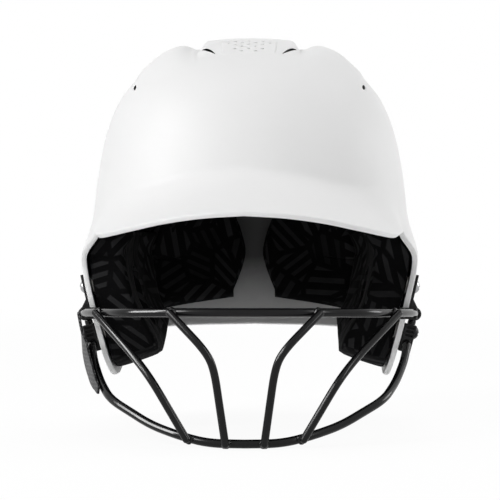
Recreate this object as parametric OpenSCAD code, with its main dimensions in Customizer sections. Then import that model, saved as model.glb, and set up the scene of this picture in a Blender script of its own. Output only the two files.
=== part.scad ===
// Batting helmet with a wire face cage.
// Sizes are in millimetres. The wearer faces -Y, +Z is up, and +X is the wearer's left.
// Heights are measured from the lowest point of the cage.

/* [Shell] */
// Half width of the dome at its widest level
dome_half_w = 98; // [92:0.5:104]
// Dome length ahead of the head axis
dome_front = 118; // [112:1:124]
// Dome length behind the head axis
dome_rear = 121; // [114:1:128]
// Height of the dome above its widest level
dome_h = 106.5; // [100:0.5:114]
// Shell wall thickness
wall = 3.2; // [2.6:0.1:4]
// Hollowing of the dome's sides above its widest level
side_flat = 2; // [0:0.25:3]
// Swell of the ear flaps past the dome
ear_bulge = 5.8; // [4:0.2:7]
// Tuck of the flap tips inside the dome's width
jaw_tuck = 12.5; // [10:0.5:15]
// Height of the flap tips
flap_z = 32.5; // [30:0.5:37]
// Height of the rear rim
rear_z = 60; // [57:0.5:64]
// Sweep of the bill ahead of the dome
bill_len = 54; // [46:1:60]
// Height of the bill's edge at its middle
bill_edge_z = 131.6; // [129:0.2:134]
// Drop of the bill's edge from its middle to its corners
bill_arch = 12; // [9:0.5:13]

/* [Crown] */
// Rise of the middle block above the dome
block_rise = 7.25; // [5:0.25:9]
// Rise of the two side ridges above the dome
ridge_rise = 6.5; // [5:0.25:8]
// Diameter of the holes in the vent panel
panel_hole_d = 1.8; // [1.2:0.1:2.2]
// Spacing of the holes across the vent panel
panel_hole_pitch = 8.4; // [7.6:0.1:8.6]
// Spacing of the rows of holes along the vent panel
panel_row_pitch = 3.7; // [3.2:0.1:3.8]
// Height of the two curved vents at the foot of the block
foot_vent_h = 1.8; // [0.8:0.1:2]

/* [Liner] */
// Thickness of the hard foam behind the pads
foam_t = 10; // [7:0.5:12]
// Thickness of the brow, crown, side and rear pads
pad_t = 9; // [6:0.5:11]
// Thickness of the ear pads at ear level
ear_pad_t = 23; // [22:0.5:28]
// Thickness of the ear pads at their lower edge
ear_pad_low_t = 29.5; // [24:0.5:30]
// Width of the opening in the ear flap and its pad
ear_hole_w = 26; // [20:1:30]
// Height of the opening in the ear flap and its pad
ear_hole_h = 34; // [26:1:38]

/* [Cage] */
// Diameter of the two long wires
bar_d = 5; // [4:0.1:5.4]
// Diameter of the four short wires
strut_d = 4.5; // [3.6:0.1:5]
// Reach of the top wire ahead of the head axis
top_reach = 158; // [150:1:166]
// Reach of the bottom wire ahead of the head axis
bottom_reach = 150; // [142:1:158]
// Height of the top wire
top_wire_z = 74.5; // [72:0.5:78]

/* [Fixings] */
// Width of the clips along the wires
clip_w = 14; // [12:0.5:14.5]
// Thickness of an upper clip's strap
clip_t = 1.4; // [1.2:0.1:1.8]
// Diameter of the screw shanks
screw_d = 4; // [3:0.1:4.4]
// Diameter of the screw heads
head_d = 8; // [7:0.25:9]
// Diameter of the chin strap holes
strap_hole_d = 4.8; // [4:0.1:6]

/* [Hidden] */
$fn = 48;
// Clearance between pieces that lie against each other
clear = 0.3;
// Radial clearance of a wire in its clip and of a screw in its hole
fit = 0.15;
// Gap left for the weld where two wires meet
weld = 0.2;
// Standoff of a flat clip from the curved flap
seat = 0.4;
widest_z = 130;
swell_top = 136;
swell_drop = 28;
flat_low = 132;
flat_high = 206;
top_power = 2.6;
plan_power = 2.25;
border_share = 0.93;
nape_tuck = 10;
bill_rise = 28;
bill_half_angle = 60;
front_edge = 60;
temple_notch = 4.5;
temple_share = 0.8;
temple_blend = 28;
temple_z = bill_edge_z - temple_share * bill_arch;
bar_r = bar_d / 2;
strut_r = strut_d / 2;

// Lines of the crown's grid: across from the middle to the side, then from front to back
panel_u = 0.155;
panel_lip = 0.028;
block_u = 0.253;
foot_u = 0.315;
ridge_foot_u = 0.36;
ridge_mid_u = 0.5;
ridge_top_u = 0.72;
ridge_drop_u = 0.765;
half_lines = [0, panel_u, 0.205, block_u, foot_u, ridge_foot_u, 0.42, ridge_mid_u, 0.58, 0.65,
    ridge_top_u, ridge_drop_u, 0.88, 1];
face_v = -0.56;
panel_low_v = -0.535;
corner_v = -0.44;
panel_high_v = -0.345;
long_lines = [-1, -0.9, -0.8, -0.7, -0.63, face_v, panel_low_v, corner_v, panel_high_v, -0.26, -0.13, 0,
    0.15, 0.3, 0.45, 0.6, 0.72, 0.83, 0.92, 1];
half_count = len(half_lines) - 1;
cross_lines = [for (i = [-half_count:half_count]) sign(i) * half_lines[abs(i)]];
nu = len(cross_lines) - 1;
nv = len(long_lines) - 1;
border = 2 * (nu + nv);
upper_rows = 8;
skirt_rows = 7;

// Numbers and curves

function lerp(a, b, t) = a + (b - a) * t;
function clamp(t) = min(max(t, 0), 1);
function smooth(t) = let (c = clamp(t)) c * c * (3 - 2 * c);
function unit(v) = v / norm(v);
function knot(k, t, i = 0) = i >= len(k) - 2 || t < k[i + 1][0] ? i : knot(k, t, i + 1);
// Value at t of a smooth curve through knots [t, value]
function curve(k, t) =
    let (
        last = len(k) - 1,
        at = min(max(t, k[0][0]), k[last][0]),
        i = knot(k, at),
        step = k[i + 1][0] - k[i][0],
        run = k[i + 1][1] - k[i][1],
        m1 = i == 0 ? run : (k[i + 1][1] - k[i - 1][1]) / (k[i + 1][0] - k[i - 1][0]) * step,
        m2 = i + 2 > last ? run : (k[i + 2][1] - k[i][1]) / (k[i + 2][0] - k[i][0]) * step,
        s = (at - k[i][0]) / step
    )
    (2 * s ^ 3 - 3 * s ^ 2 + 1) * k[i][1] + (s ^ 3 - 2 * s ^ 2 + s) * m1
    + (3 * s ^ 2 - 2 * s ^ 3) * k[i + 1][1] + (s ^ 3 - s ^ 2) * m2;

// Shell surface: its radius at a bearing from straight ahead and a height

function section(z) =
    z <= widest_z ? 1 : max(0, 1 - ((z - widest_z) / dome_h) ^ top_power) ^ (1 / top_power);
function swell(drop) =
    drop <= 0 ? 0
    : drop < swell_drop ? ear_bulge * smooth(drop / swell_drop)
    : ear_bulge - (ear_bulge + jaw_tuck)
        * ((drop - swell_drop) / (swell_top - flap_z - swell_drop)) ^ 1.2;
function half_w(z) =
    dome_half_w + swell(swell_top - z)
    - side_flat * sin(180 * clamp((z - flat_low) / (flat_high - flat_low)));
function rear_len(z) = dome_rear - nape_tuck * max(0, (widest_z - z) / (widest_z - rear_z)) ^ 1.5;
function half_l(bearing, z) = cos(bearing) > 0 ? dome_front : rear_len(z);
function power(front, z) =
    plan_power
    + (front ? 1.75 * smooth((temple_z + 0.5 - z) / temple_blend)
        : 0.6 * smooth((widest_z - z) / swell_drop));
function radius(bearing, z) =
    let (p = power(cos(bearing) > 0, z))
    section(z) * ((abs(sin(bearing)) / half_w(z)) ^ p
        + (abs(cos(bearing)) / half_l(bearing, z)) ^ p) ^ (-1 / p);
bill_knots = [[0, 0], [8, 0.12], [16, 0.367], [24, 0.683], [32, 0.91], [38, 0.99], [44, 0.9],
    [52, 0.82], [bill_half_angle, temple_share]];
function bill_z(bearing) = bill_edge_z - bill_arch * curve(bill_knots, abs(bearing));
function bill_out(bearing, z) =
    bill_len * max(0, cos(90 * bearing / bill_half_angle)) ^ 1.3
    * clamp((bill_z(bearing) + bill_rise - z) / bill_rise) ^ 1.5;
function turned(bearing) = bearing > 180 ? bearing - 360 : bearing;
function shell_radius(bearing, z, bill) =
    radius(bearing, z)
    + (bill && abs(turned(bearing)) < bill_half_angle ? bill_out(turned(bearing), z) : 0);
function at_bearing(bearing, z, r) = [r * sin(bearing), -r * cos(bearing), z];
function side_point(bearing, z, bill = false) = at_bearing(bearing, z, shell_radius(bearing, z, bill));
function side_normal(bearing, z, bill = false) =
    let (
        d = 0.4,
        r = shell_radius(bearing, z, bill),
        turn = (shell_radius(bearing + d, z, bill) - shell_radius(bearing - d, z, bill))
            / (2 * d * PI / 180),
        rise = (shell_radius(bearing, z + d, bill) - shell_radius(bearing, z - d, bill)) / (2 * d)
    )
    unit([sin(bearing) - turn / r * cos(bearing), -cos(bearing) - turn / r * sin(bearing), -rise]);

// The crown's grid: a square of lines laid over the top of the dome

function crown_point(u, v) =
    let (
        across = u * sqrt(1 - v * v / 2),
        along = v * sqrt(1 - u * u / 2),
        share = border_share * norm([across, along]),
        bearing = share == 0 ? 0 : atan2(across, -along),
        level = widest_z + dome_h * (1 - share ^ top_power) ^ (1 / top_power)
    )
    at_bearing(bearing, level, radius(bearing, level));
function crown_normal(p) =
    let (
        l = p[1] < 0 ? dome_front : dome_rear,
        s = (abs(p[0]) / dome_half_w) ^ plan_power + (abs(p[1]) / l) ^ plan_power,
        pull = s ^ (top_power / plan_power - 1)
    )
    unit([
        pull * (abs(p[0]) / dome_half_w) ^ (plan_power - 1) / dome_half_w * sign(p[0]),
        pull * (abs(p[1]) / l) ^ (plan_power - 1) / l * sign(p[1]),
        ((p[2] - widest_z) / dome_h) ^ (top_power - 1) / dome_h
    ]);
// Rise of the block and the ridges above the dome
function ridge_shape(u) =
    u <= foot_u || u >= 1 ? 0
    : curve([[foot_u, 0.2], [ridge_foot_u, 0.35], [0.42, 0.9], [ridge_mid_u, 1], [0.58, 0.88],
        [0.65, 0.64], [ridge_top_u, 0.46], [ridge_drop_u, 0.2], [0.88, 0.08], [1, 0]], u);
function block_shape(v) =
    curve([[face_v, 0], [panel_low_v, 0.08], [panel_high_v, 0.6], [-0.13, 0.86], [0, 0.95], [0.15, 1]], v);
function crown_rise(u, v) =
    let (
        block = clamp((foot_u - abs(u)) / (foot_u - block_u)) * block_shape(v)
            * lerp(1, 0.5, smooth((v - 0.2) / 0.8)),
        ridge = ridge_shape(abs(u)) * smooth((v + 0.75) / 0.5) * lerp(1, 0.25, smooth((v - 0.3) / 0.7))
    )
    max(block_rise * block, ridge_rise * ridge);

// Rim of the flaps and the back: height at a bearing
rim_knots = [[front_edge, 19], [64, 10], [69, 4.5], [76, 1], [86, 0], [96, 0.8], [106, 3],
    [116, 7.5], [126, 15], [136, rear_z - flap_z - 5], [150, rear_z - flap_z - 1.5],
    [180, rear_z - flap_z]];
function rim_z(bearing) = flap_z + curve(rim_knots, bearing);
// The flap's front edge steps back at the temple
function edge_shift(z) =
    temple_notch * sin(180 * clamp((temple_z - z) / (temple_z - 80))) ^ 2;

// Border of the crown's grid, from the front left corner to the right and round
function border_uv(c) =
    c < nu ? [c, 0]
    : c < nu + nv ? [nu, c - nu]
    : c < 2 * nu + nv ? [2 * nu + nv - c, nv]
    : [0, 2 * (nu + nv) - c];
function border_bearing(c) =
    let (b = border_uv(c), u = cross_lines[b[0]], v = long_lines[b[1]])
    atan2(u * sqrt(1 - v * v / 2), -v * sqrt(1 - u * u / 2));
edge_column = nu + 2;
first_bearing = border_bearing(edge_column);
function waist_bearing(b) =
    let (a = abs(b))
    sign(b) * (a <= first_bearing ? a * front_edge / first_bearing
        : lerp(front_edge, 180, (a - first_bearing) / (180 - first_bearing)));
function in_skirt(c) = c >= edge_column && c < 2 * nu + 2 * nv + nu - edge_column;
border_z = widest_z + dome_h * (1 - border_share ^ top_power) ^ (1 / top_power);

// Bearing and height of a grid point below the crown: row 0 is the border
function side_place(row, c) =
    let (b = border_bearing(c), w = waist_bearing(b), low = abs(w) < front_edge ? bill_z(w) : temple_z)
    row <= upper_rows
        ? let (s = row / upper_rows) [lerp(b, w, smooth(s)), lerp(border_z, low, s * (1.35 - 0.35 * s))]
        : let (
            s = (row - upper_rows) / skirt_rows,
            z = lerp(temple_z, rim_z(abs(w)), s),
            near = clamp(1 - (abs(w) - front_edge) / 35)
        )
        [w + sign(w) * edge_shift(z) * near, z];
function rear_rise(row, c) =
    let (b = border_uv(c))
    b[1] < nv ? 0 : crown_rise(cross_lines[b[0]], 1) * (1 - smooth(row / (upper_rows + 1)));

crown_base = [for (j = [0:nv], i = [0:nu]) crown_point(cross_lines[i], long_lines[j])];
crown_normals = [for (p = crown_base) crown_normal(p)];
crown_lift = [for (j = [0:nv], i = [0:nu]) crown_rise(cross_lines[i], long_lines[j])];
side_places = [for (r = [1:upper_rows + skirt_rows], c = [0:border - 1]) side_place(r, c)];
side_base = [for (p = side_places) side_point(p[0], p[1], true)];
side_normals = [for (p = side_places) side_normal(p[0], p[1], true)];
side_lift = [for (r = [1:upper_rows + skirt_rows], c = [0:border - 1]) rear_rise(r, c)];
base_points = concat(crown_base, side_base);
base_normals = concat(crown_normals, side_normals);
base_lift = concat(crown_lift, side_lift);
function skin(depth) =
    [for (i = [0:len(base_points) - 1]) base_points[i] + (base_lift[i] - depth) * base_normals[i]];

function crown_index(i, j) = j * (nu + 1) + i;
function side_index(row, c) =
    let (k = (c + border) % border)
    row == 0 ? let (b = border_uv(k)) crown_index(b[0], b[1])
    : (nu + 1) * (nv + 1) + (row - 1) * border + k;

// Openings: the panel's seat in the block's face, the vents under the ridges, and the rear vents
function between(t, a, b) = t > a && t < b;
function open_cell(i, j) =
    let (
        u = abs(cross_lines[i] + cross_lines[i + 1]) / 2,
        v = (long_lines[j] + long_lines[j + 1]) / 2
    )
    (u < panel_u && between(v, panel_low_v, panel_high_v))
    || (between(u, ridge_top_u, ridge_drop_u) && (between(v, -0.26, -0.13) || between(v, 0, 0.15)
        || between(v, 0.3, 0.45)))
    || (between(u, ridge_foot_u, 0.42) && between(v, 0.72, 0.92));
crown_cells = [for (j = [0:nv - 1], i = [0:nu - 1]) if (!open_cell(i, j)) [i, j]];
side_cells = [for (r = [0:upper_rows + skirt_rows - 1], c = [0:border - 1])
    if (r < upper_rows || in_skirt(c)) [r, c]];
function crown_quad(i, j) =
    [crown_index(i, j), crown_index(i, j + 1), crown_index(i + 1, j + 1), crown_index(i + 1, j)];
function side_quad(r, c) =
    [side_index(r, c), side_index(r, c + 1), side_index(r + 1, c + 1), side_index(r + 1, c)];
grid_quads = concat(
    [for (k = crown_cells) crown_quad(k[0], k[1])],
    [for (k = side_cells) side_quad(k[0], k[1])]);
// Edges of the skin: each runs along one quad only
crown_rims = [for (j = [0:nv - 1], i = [0:nu - 1]) if (open_cell(i, j)) each concat(
    open_cell(i, j - 1) ? [] : [[crown_index(i + 1, j), crown_index(i, j)]],
    open_cell(i + 1, j) ? [] : [[crown_index(i + 1, j + 1), crown_index(i + 1, j)]],
    open_cell(i, j + 1) ? [] : [[crown_index(i, j + 1), crown_index(i + 1, j + 1)]],
    open_cell(i - 1, j) ? [] : [[crown_index(i, j), crown_index(i, j + 1)]])];
last_column = 2 * nu + 2 * nv + nu - edge_column;
all_rows = upper_rows + skirt_rows;
side_rims = concat(
    [for (c = [0:border - 1]) let (r = in_skirt(c) ? all_rows : upper_rows)
        [side_index(r, c), side_index(r, c + 1)]],
    [for (r = [upper_rows:all_rows - 1]) [side_index(r, edge_column), side_index(r + 1, edge_column)]],
    [for (r = [upper_rows:all_rows - 1]) [side_index(r + 1, last_column), side_index(r, last_column)]]);

// The part stands over the middle of its box
outer_skin = skin(0);
front_y = min([for (p = outer_skin) p[1]]);
rear_y = max([for (p = outer_skin) p[1]]);
module in_place() translate([0, -(front_y + rear_y) / 2, 0]) children();
module mirrored() mirror([1, 0, 0]) children();

module shell_skin() {
    inner = skin(wall);
    n = len(outer_skin);
    polyhedron(
        points = concat(outer_skin, inner),
        faces = concat(
            [for (q = grid_quads) each [[q[0], q[1], q[2]], [q[0], q[2], q[3]]]],
            [for (q = grid_quads) each
                [[q[2] + n, q[1] + n, q[0] + n], [q[3] + n, q[2] + n, q[0] + n]]],
            [for (e = concat(crown_rims, side_rims)) each
                [[e[0], e[1], e[1] + n], [e[0], e[1] + n, e[0] + n]]]));
}

// Places on the flap's face: a frame with x running back, y up the face and z outward

function flap_x(y, z) =
    let (p = power(y < 0, z), l = y < 0 ? dome_front : rear_len(z))
    half_w(z) * (1 - (abs(y) / l) ^ p) ^ (1 / p);
function flap_frame(y, z) =
    let (
        d = 0.5,
        n = unit([1, -(flap_x(y + d, z) - flap_x(y - d, z)) / (2 * d),
            -(flap_x(y, z + d) - flap_x(y, z - d)) / (2 * d)]),
        b = unit(cross([0, 0, 1], n))
    )
    [b, cross(n, b), n, [flap_x(y, z), y, z]];
function in_frame(f, p) = f[3] + p[0] * f[0] + p[1] * f[1] + p[2] * f[2];
module at_frame(f)
    multmatrix([for (i = [0:2]) [f[0][i], f[1][i], f[2][i], f[3][i]]]) children();

clip_y = -37;
upper_frame = flap_frame(clip_y, 85);
lower_frame = flap_frame(clip_y, 59);
wire_out = seat + clip_t + fit + bar_r;
upper_wire_drop = 12.5;
upper_screw_rise = 3.5;
lower_wire_drop = 4.5;
lower_screw_rise = 3;
block_t = wire_out + bar_r + 0.8;
upper_run = [for (a = [-9, 9]) in_frame(upper_frame, [a, -upper_wire_drop, wire_out])];
lower_run = [for (a = [-11, 10.5]) in_frame(lower_frame, [a, -lower_wire_drop, wire_out])];

// Bent wires: straight runs joined by smooth bends of a given reach

function toward(b, a, reach) = b + unit(a - b) * min(reach, 0.48 * norm(a - b));
function bend(a, b, c, reach, n) =
    let (p = toward(b, a, reach), q = toward(b, c, reach))
    [for (k = [0:n]) let (t = k / n) (1 - t) ^ 2 * p + 2 * t * (1 - t) * b + t * t * q];
function bent(path, reach, n = 4) = concat(
    [path[0]],
    [for (i = [1:len(path) - 2]) each bend(path[i - 1], path[i], path[i + 1], reach, n)],
    [path[len(path) - 1]]);
function heading(path, i) =
    let (last = len(path) - 1)
    unit((i == 0 ? [0, 0, 0] : unit(path[i] - path[i - 1]))
        + (i == last ? [0, 0, 0] : unit(path[i + 1] - path[i])));
sides = 10;
module wire(path, r, up) {
    last = len(path) - 1;
    head = heading(path, 0);
    tail = heading(path, last);
    stations = concat(
        [for (a = [60, 30]) [path[0] - head * r * sin(a), head, r * cos(a)]],
        [for (i = [0:last]) [path[i], heading(path, i), r]],
        [for (a = [30, 60]) [path[last] + tail * r * sin(a), tail, r * cos(a)]]);
    rings = [for (w = stations) let (s = unit(cross(w[1], up)), t = cross(s, w[1]))
        for (k = [0:sides - 1]) w[0] + w[2] * (cos(360 * k / sides) * s + sin(360 * k / sides) * t)];
    m = len(stations);
    polyhedron(
        points = concat(rings, [path[0] - head * r, path[last] + tail * r]),
        faces = concat(
            [for (i = [0:m - 2], k = [0:sides - 1])
                let (a = i * sides, b = a + sides, j = (k + 1) % sides)
                each [[b + j, b + k, a + k], [a + j, b + j, a + k]]],
            [for (k = [0:sides - 1]) [m * sides, (k + 1) % sides, k]],
            [for (k = [0:sides - 1]) let (a = (m - 1) * sides)
                [m * sides + 1, a + k, a + (k + 1) % sides]]));
}
function other_side(path) = [for (i = [len(path) - 1:-1:0]) [-path[i][0], path[i][1], path[i][2]]];
// Point and heading where a half wire reaches a given distance from the middle
function reach_x(path, x, i = 0) =
    path[i + 1][0] >= x || i == len(path) - 2
    ? let (t = (x - path[i][0]) / (path[i + 1][0] - path[i][0]))
        [lerp(path[i], path[i + 1], t), unit(path[i + 1] - path[i])]
    : reach_x(path, x, i + 1);

top_knots = [[0, -top_reach, top_wire_z + 1.5], [40, -top_reach + 8, top_wire_z + 1.3],
    [71, -top_reach + 29, top_wire_z + 0.5], [dome_half_w - 9, -94, top_wire_z - 0.6],
    [dome_half_w, -68, top_wire_z - 1.4],
    upper_run[0], upper_run[1], upper_run[1] + 3.5 * upper_frame[0]];
top_half = bent(top_knots, 12, 3);
top_path = concat(other_side(top_half), [for (i = [1:len(top_half) - 1]) top_half[i]]);
loop_top = upper_run[1] + 1.5 * upper_frame[0] - (bar_d + weld) * upper_frame[1];
bottom_knots = [[0, -bottom_reach, bar_r], [20, -bottom_reach + 1, bar_r + 0.2],
    [36, -bottom_reach + 8, bar_r + 3.5], [54, -bottom_reach + 23, bar_r + 8.5],
    [dome_half_w - 18.5, -103, 24], [dome_half_w - 10.5, -80, 33], [dome_half_w - 4.5, -59, 44.5],
    lower_run[0], lower_run[1], loop_top];
run_at = len(bottom_knots) - 3;
bottom_half = concat(
    [bottom_knots[0]],
    [for (i = [1:len(bottom_knots) - 2])
        each bend(bottom_knots[i - 1], bottom_knots[i], bottom_knots[i + 1], i < run_at ? 10 : 3.5, 3)],
    [bottom_knots[len(bottom_knots) - 1]]);
bottom_path = concat(other_side(bottom_half), [for (i = [1:len(bottom_half) - 1]) bottom_half[i]]);

// A short wire stands on the outside of the long ones
function ahead_of(at) =
    at[0] + (bar_r + strut_r + weld) * unit(cross(at[1], [0, 0, 1]));
inner_top = ahead_of(reach_x(top_half, 40));
inner_foot = ahead_of(reach_x(bottom_half, 10.5));
outer_top = ahead_of(reach_x(top_half, 83.5));
outer_foot = ahead_of(reach_x(bottom_half, 30.5));
inner_strut = [inner_top, [21.5, -top_reach - 6, top_wire_z - 19.5],
    [16.8, -bottom_reach - 12, top_wire_z - 29.5], inner_foot];
outer_strut = [outer_top, [63, -top_reach + 22, top_wire_z - 24],
    [52.5, -bottom_reach + 4, top_wire_z - 36.5], outer_foot];
module strut(path) wire(bent(path, 11), strut_r, [0, -1, 0]);

// Upper clip: a strap folded round the top wire and screwed to the flap
module upper_clip() {
    hook = bar_r + fit + clip_t;
    at_frame(upper_frame)
        difference() {
            translate([-clip_w / 2, 0, 0]) rotate([90, 0, 90])
                linear_extrude(clip_w)
                    difference() {
                        union() {
                            translate([-upper_wire_drop, wire_out]) circle(hook);
                            polygon([[-upper_wire_drop, seat], [11, seat], [11, seat + clip_t],
                                [-upper_screw_rise - 0.5, seat + clip_t],
                                [-upper_wire_drop, wire_out + hook]]);
                        }
                        translate([-upper_wire_drop, wire_out]) circle(bar_r + fit);
                    }
            translate([0, upper_screw_rise, -1]) cylinder(h = seat + clip_t + 2, r = screw_d / 2 + fit);
        }
}

// Lower clip: a moulded block round the bottom wire, slotted across its front
module lower_clip() {
    at_frame(lower_frame)
        difference() {
            translate([-clip_w / 2, -9.5, seat]) cube([clip_w, 17, block_t - seat]);
            translate([-clip_w / 2 - 1, -lower_wire_drop, wire_out]) rotate([0, 90, 0])
                cylinder(h = clip_w + 2, r = bar_r + fit);
            translate([0, lower_screw_rise, seat - 1]) cylinder(h = block_t + 2, r = screw_d / 2 + fit);
            for (z = [0.2, 2.6, 5])
                translate([-clip_w / 2 - 1, z, seat + 1.6]) cube([4, 1.3, block_t - seat - 2.6]);
        }
}

// Rubber block on the top wire, ahead of the flap's edge
module spacer_block() {
    at = reach_x(top_half, upper_run[0][0] - 1.7);
    t = at[1];
    n = unit(cross(t, [0, 0, 1]));
    at_frame([t, [0, 0, 1], n, at[0]])
        difference() {
            translate([-3.5, -3.4, -8]) cube([7, 6.8, 8 + bar_r - clear]);
            translate([-5, 0, 0]) rotate([0, 90, 0]) cylinder(h = 10, r = bar_r + fit);
        }
}

// Screws: a domed head with a cross slot, and a shank into the tee nut
head_h = 2.2;
flange_t = 1.2;
module screw(stack) {
    length = stack + wall + flange_t;
    difference() {
        union() {
            translate([0, 0, clear / 2]) intersection() {
                translate([0, 0, head_h - (head_d ^ 2 / 4 + head_h ^ 2) / (2 * head_h)])
                    sphere((head_d ^ 2 / 4 + head_h ^ 2) / (2 * head_h));
                cylinder(h = head_h, r = head_d / 2);
            }
            translate([0, 0, -length]) cylinder(h = length + clear, r = screw_d / 2);
        }
        for (a = [0, 90])
            rotate(a) translate([-head_d / 4, -0.5, head_h - 0.7]) cube([head_d / 2, 1, 2]);
    }
}
module tee_nut() {
    difference() {
        union() {
            translate([0, 0, -wall - clear - flange_t]) cylinder(h = flange_t, r = nut_barrel_r + 3);
            translate([0, 0, -wall - clear - 0.1]) cylinder(h = wall, r = nut_barrel_r);
        }
        translate([0, 0, -wall - 5]) cylinder(h = wall + 10, r = screw_d / 2 + fit / 2);
    }
}
nut_barrel_r = screw_d / 2 + 0.9;
module upper_screw()
    at_frame(upper_frame) translate([0, upper_screw_rise, seat + clip_t]) screw(seat + clip_t);
module lower_screw() at_frame(lower_frame) translate([0, lower_screw_rise, block_t]) screw(block_t);
module upper_tee_nut() at_frame(upper_frame) translate([0, upper_screw_rise, 0]) tee_nut();
module lower_tee_nut() at_frame(lower_frame) translate([0, lower_screw_rise, 0]) tee_nut();

// Side plate: a thin strip outside the wires on the wearer's right
plate_t = 1.5;
plate_gap = 0.7;
module side_plate() {
    high = reach_x(top_half, upper_run[0][0] - 0.9)[0];
    low = reach_x(bottom_half, 83.5)[0];
    spine = bent([low, [dome_half_w - 10.5, -80, 33], [dome_half_w - 4, -57.5, 46],
        [dome_half_w - 1, -49, 58], high + [0, 1, 1.5]], 8, 4);
    n = len(spine);
    rows = [for (i = [0:n - 1]) let (
            t = heading(spine, i),
            o = unit(lerp([0.965, -0.26, 0.04], lower_frame[2], smooth(3 * i / (n - 1) - 2))),
            w = unit(cross(o, t)),
            half = lerp(2.6, 6, sin(180 * i / (n - 1))),
            base = spine[i] + (bar_r + plate_gap) * o
        ) [base - half * w, base + half * w,
            base + half * w + plate_t * o, base - half * w + plate_t * o]];
    polyhedron(
        points = [for (r = rows) each r],
        faces = concat(
            [for (i = [0:n - 2], k = [0:3]) let (a = 4 * i, j = (k + 1) % 4)
                each [[a + k, a + 4 + k, a + 4 + j], [a + k, a + 4 + j, a + j]]],
            [[0, 1, 2], [0, 2, 3]],
            [[4 * n - 2, 4 * n - 3, 4 * n - 4], [4 * n - 1, 4 * n - 2, 4 * n - 4]]));
}

// Closed patch between two grids of points, each with columns + 1 points in a row
module patch(near, far, columns) {
    n = len(near);
    rows = n / (columns + 1) - 1;
    quads = [for (j = [0:rows - 1], i = [0:columns - 1]) let (a = j * (columns + 1) + i)
        [a, a + columns + 1, a + columns + 2, a + 1]];
    rim = concat(
        [for (i = [0:columns - 1]) [i + 1, i]],
        [for (j = [0:rows - 1]) let (a = j * (columns + 1)) [a, a + columns + 1]],
        [for (i = [0:columns - 1]) let (a = rows * (columns + 1) + i) [a, a + 1]],
        [for (j = [0:rows - 1]) let (a = j * (columns + 1) + columns) [a + columns + 1, a]]);
    polyhedron(
        points = concat(near, far),
        faces = concat(
            [for (q = quads) each [[q[0], q[1], q[2]], [q[0], q[2], q[3]]]],
            [for (q = quads) each [[q[2] + n, q[1] + n, q[0] + n], [q[3] + n, q[2] + n, q[0] + n]]],
            [for (e = rim) each [[e[1], e[0], e[0] + n], [e[1], e[0] + n, e[1] + n]]]));
}

// Grid steps that crowd toward a thin edge, where a pad rounds over
function steps(n, edge) = [for (i = [0:n]) let (t = i / n) t - 0.14 * (1 - edge) * sin(360 * t)];
function crowned(s) = (1 - abs(2 * s - 1) ^ 7) ^ (1 / 2.6);
// A pad or foam on the side of the dome, within bearings from(z) to to(z) and heights low(b) to high(b).
// Its inner face's foot stands lift higher.
module side_piece(from, to, low, high, depth, thick, edge, columns = 12, rows = 12, level = 0, lift = 0) {
    grid = [for (t = steps(rows, edge), s = steps(columns, edge)) let (
            guess = lerp(from(100), to(100), s),
            z = lerp(low(guess), high(guess), t)
        ) [lerp(from(z), to(z), s), z, s, t]];
    near = [for (g = grid) side_point(g[0], g[1]) - depth * side_normal(g[0], g[1])];
    far = [for (i = [0:len(grid) - 1]) let (g = grid[i], n = side_normal(g[0], g[1]))
        near[i] - thick(g[1]) * lerp(edge, 1, crowned(g[2]) * crowned(g[3]))
            * [n[0], n[1], n[2] * (1 - level)] + [0, 0, lift * (1 - g[3]) ^ 3]];
    patch(near, far, columns);
}
// The same on top of the dome, within a rounded square of the crown's grid
module crown_piece(reach_u, front_v, back_v, depth, thick, edge, n = 12) {
    grid = [for (t = steps(n, edge), s = steps(n, edge)) let (
            a = 2 * s - 1,
            b = 2 * t - 1,
            u = reach_u * a * sqrt(1 - b * b / 4),
            v = lerp(front_v, back_v, (b * sqrt(1 - a * a / 4) + 1) / 2)
        ) [crown_point(u, v), s, t]];
    near = [for (g = grid) g[0] - depth * crown_normal(g[0])];
    far = [for (g = grid) g[0] - (depth + thick * lerp(edge, 1, crowned(g[1]) * crowned(g[2])))
        * crown_normal(g[0])];
    patch(near, far, n);
}

// Liner layers, as depths below the dome's outer face, set apart by more than the shell's facets bow
layer_gap = 0.8;
foam_depth = wall + layer_gap;
pad_depth = foam_depth + foam_t + layer_gap;
ear_depth = wall + clear + flange_t + clear;
// Joints between the liner's pieces
ear_top_z = 126;
side_low_z = 128.5;
side_high_z = 178;
ear_end = 133;
rear_start = 135.5;
foam_high_z = 188;
brow_foam_low_z = 137;
side_foam_low_z = 131;
rear_foam_low_z = 84;
brow_pad_low_z = 135;
brow_pad_high_z = 172;
rear_pad_low_z = 66;
neck_z = 108;
neck_h = 27;
foam_edge = 0.85;
pad_edge = 0.35;
function gap_bearing(z) = 180 - 3 - 4.4 * min(1, abs(z - neck_z) / neck_h) ^ 1.5;

module brow_foam_block()
    side_piece(function(z) -46, function(z) 46, function(b) brow_foam_low_z, function(b) foam_high_z,
        foam_depth, function(z) foam_t, foam_edge, 12, 6);
module side_foam_block()
    side_piece(function(z) 49, function(z) 131, function(b) side_foam_low_z, function(b) foam_high_z,
        foam_depth, function(z) foam_t, foam_edge, 12, 6);
module rear_foam_block()
    side_piece(function(z) 142, function(z) 169, function(b) rear_foam_low_z, function(b) foam_high_z,
        foam_depth, function(z) foam_t, foam_edge, 6, 10);
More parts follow.
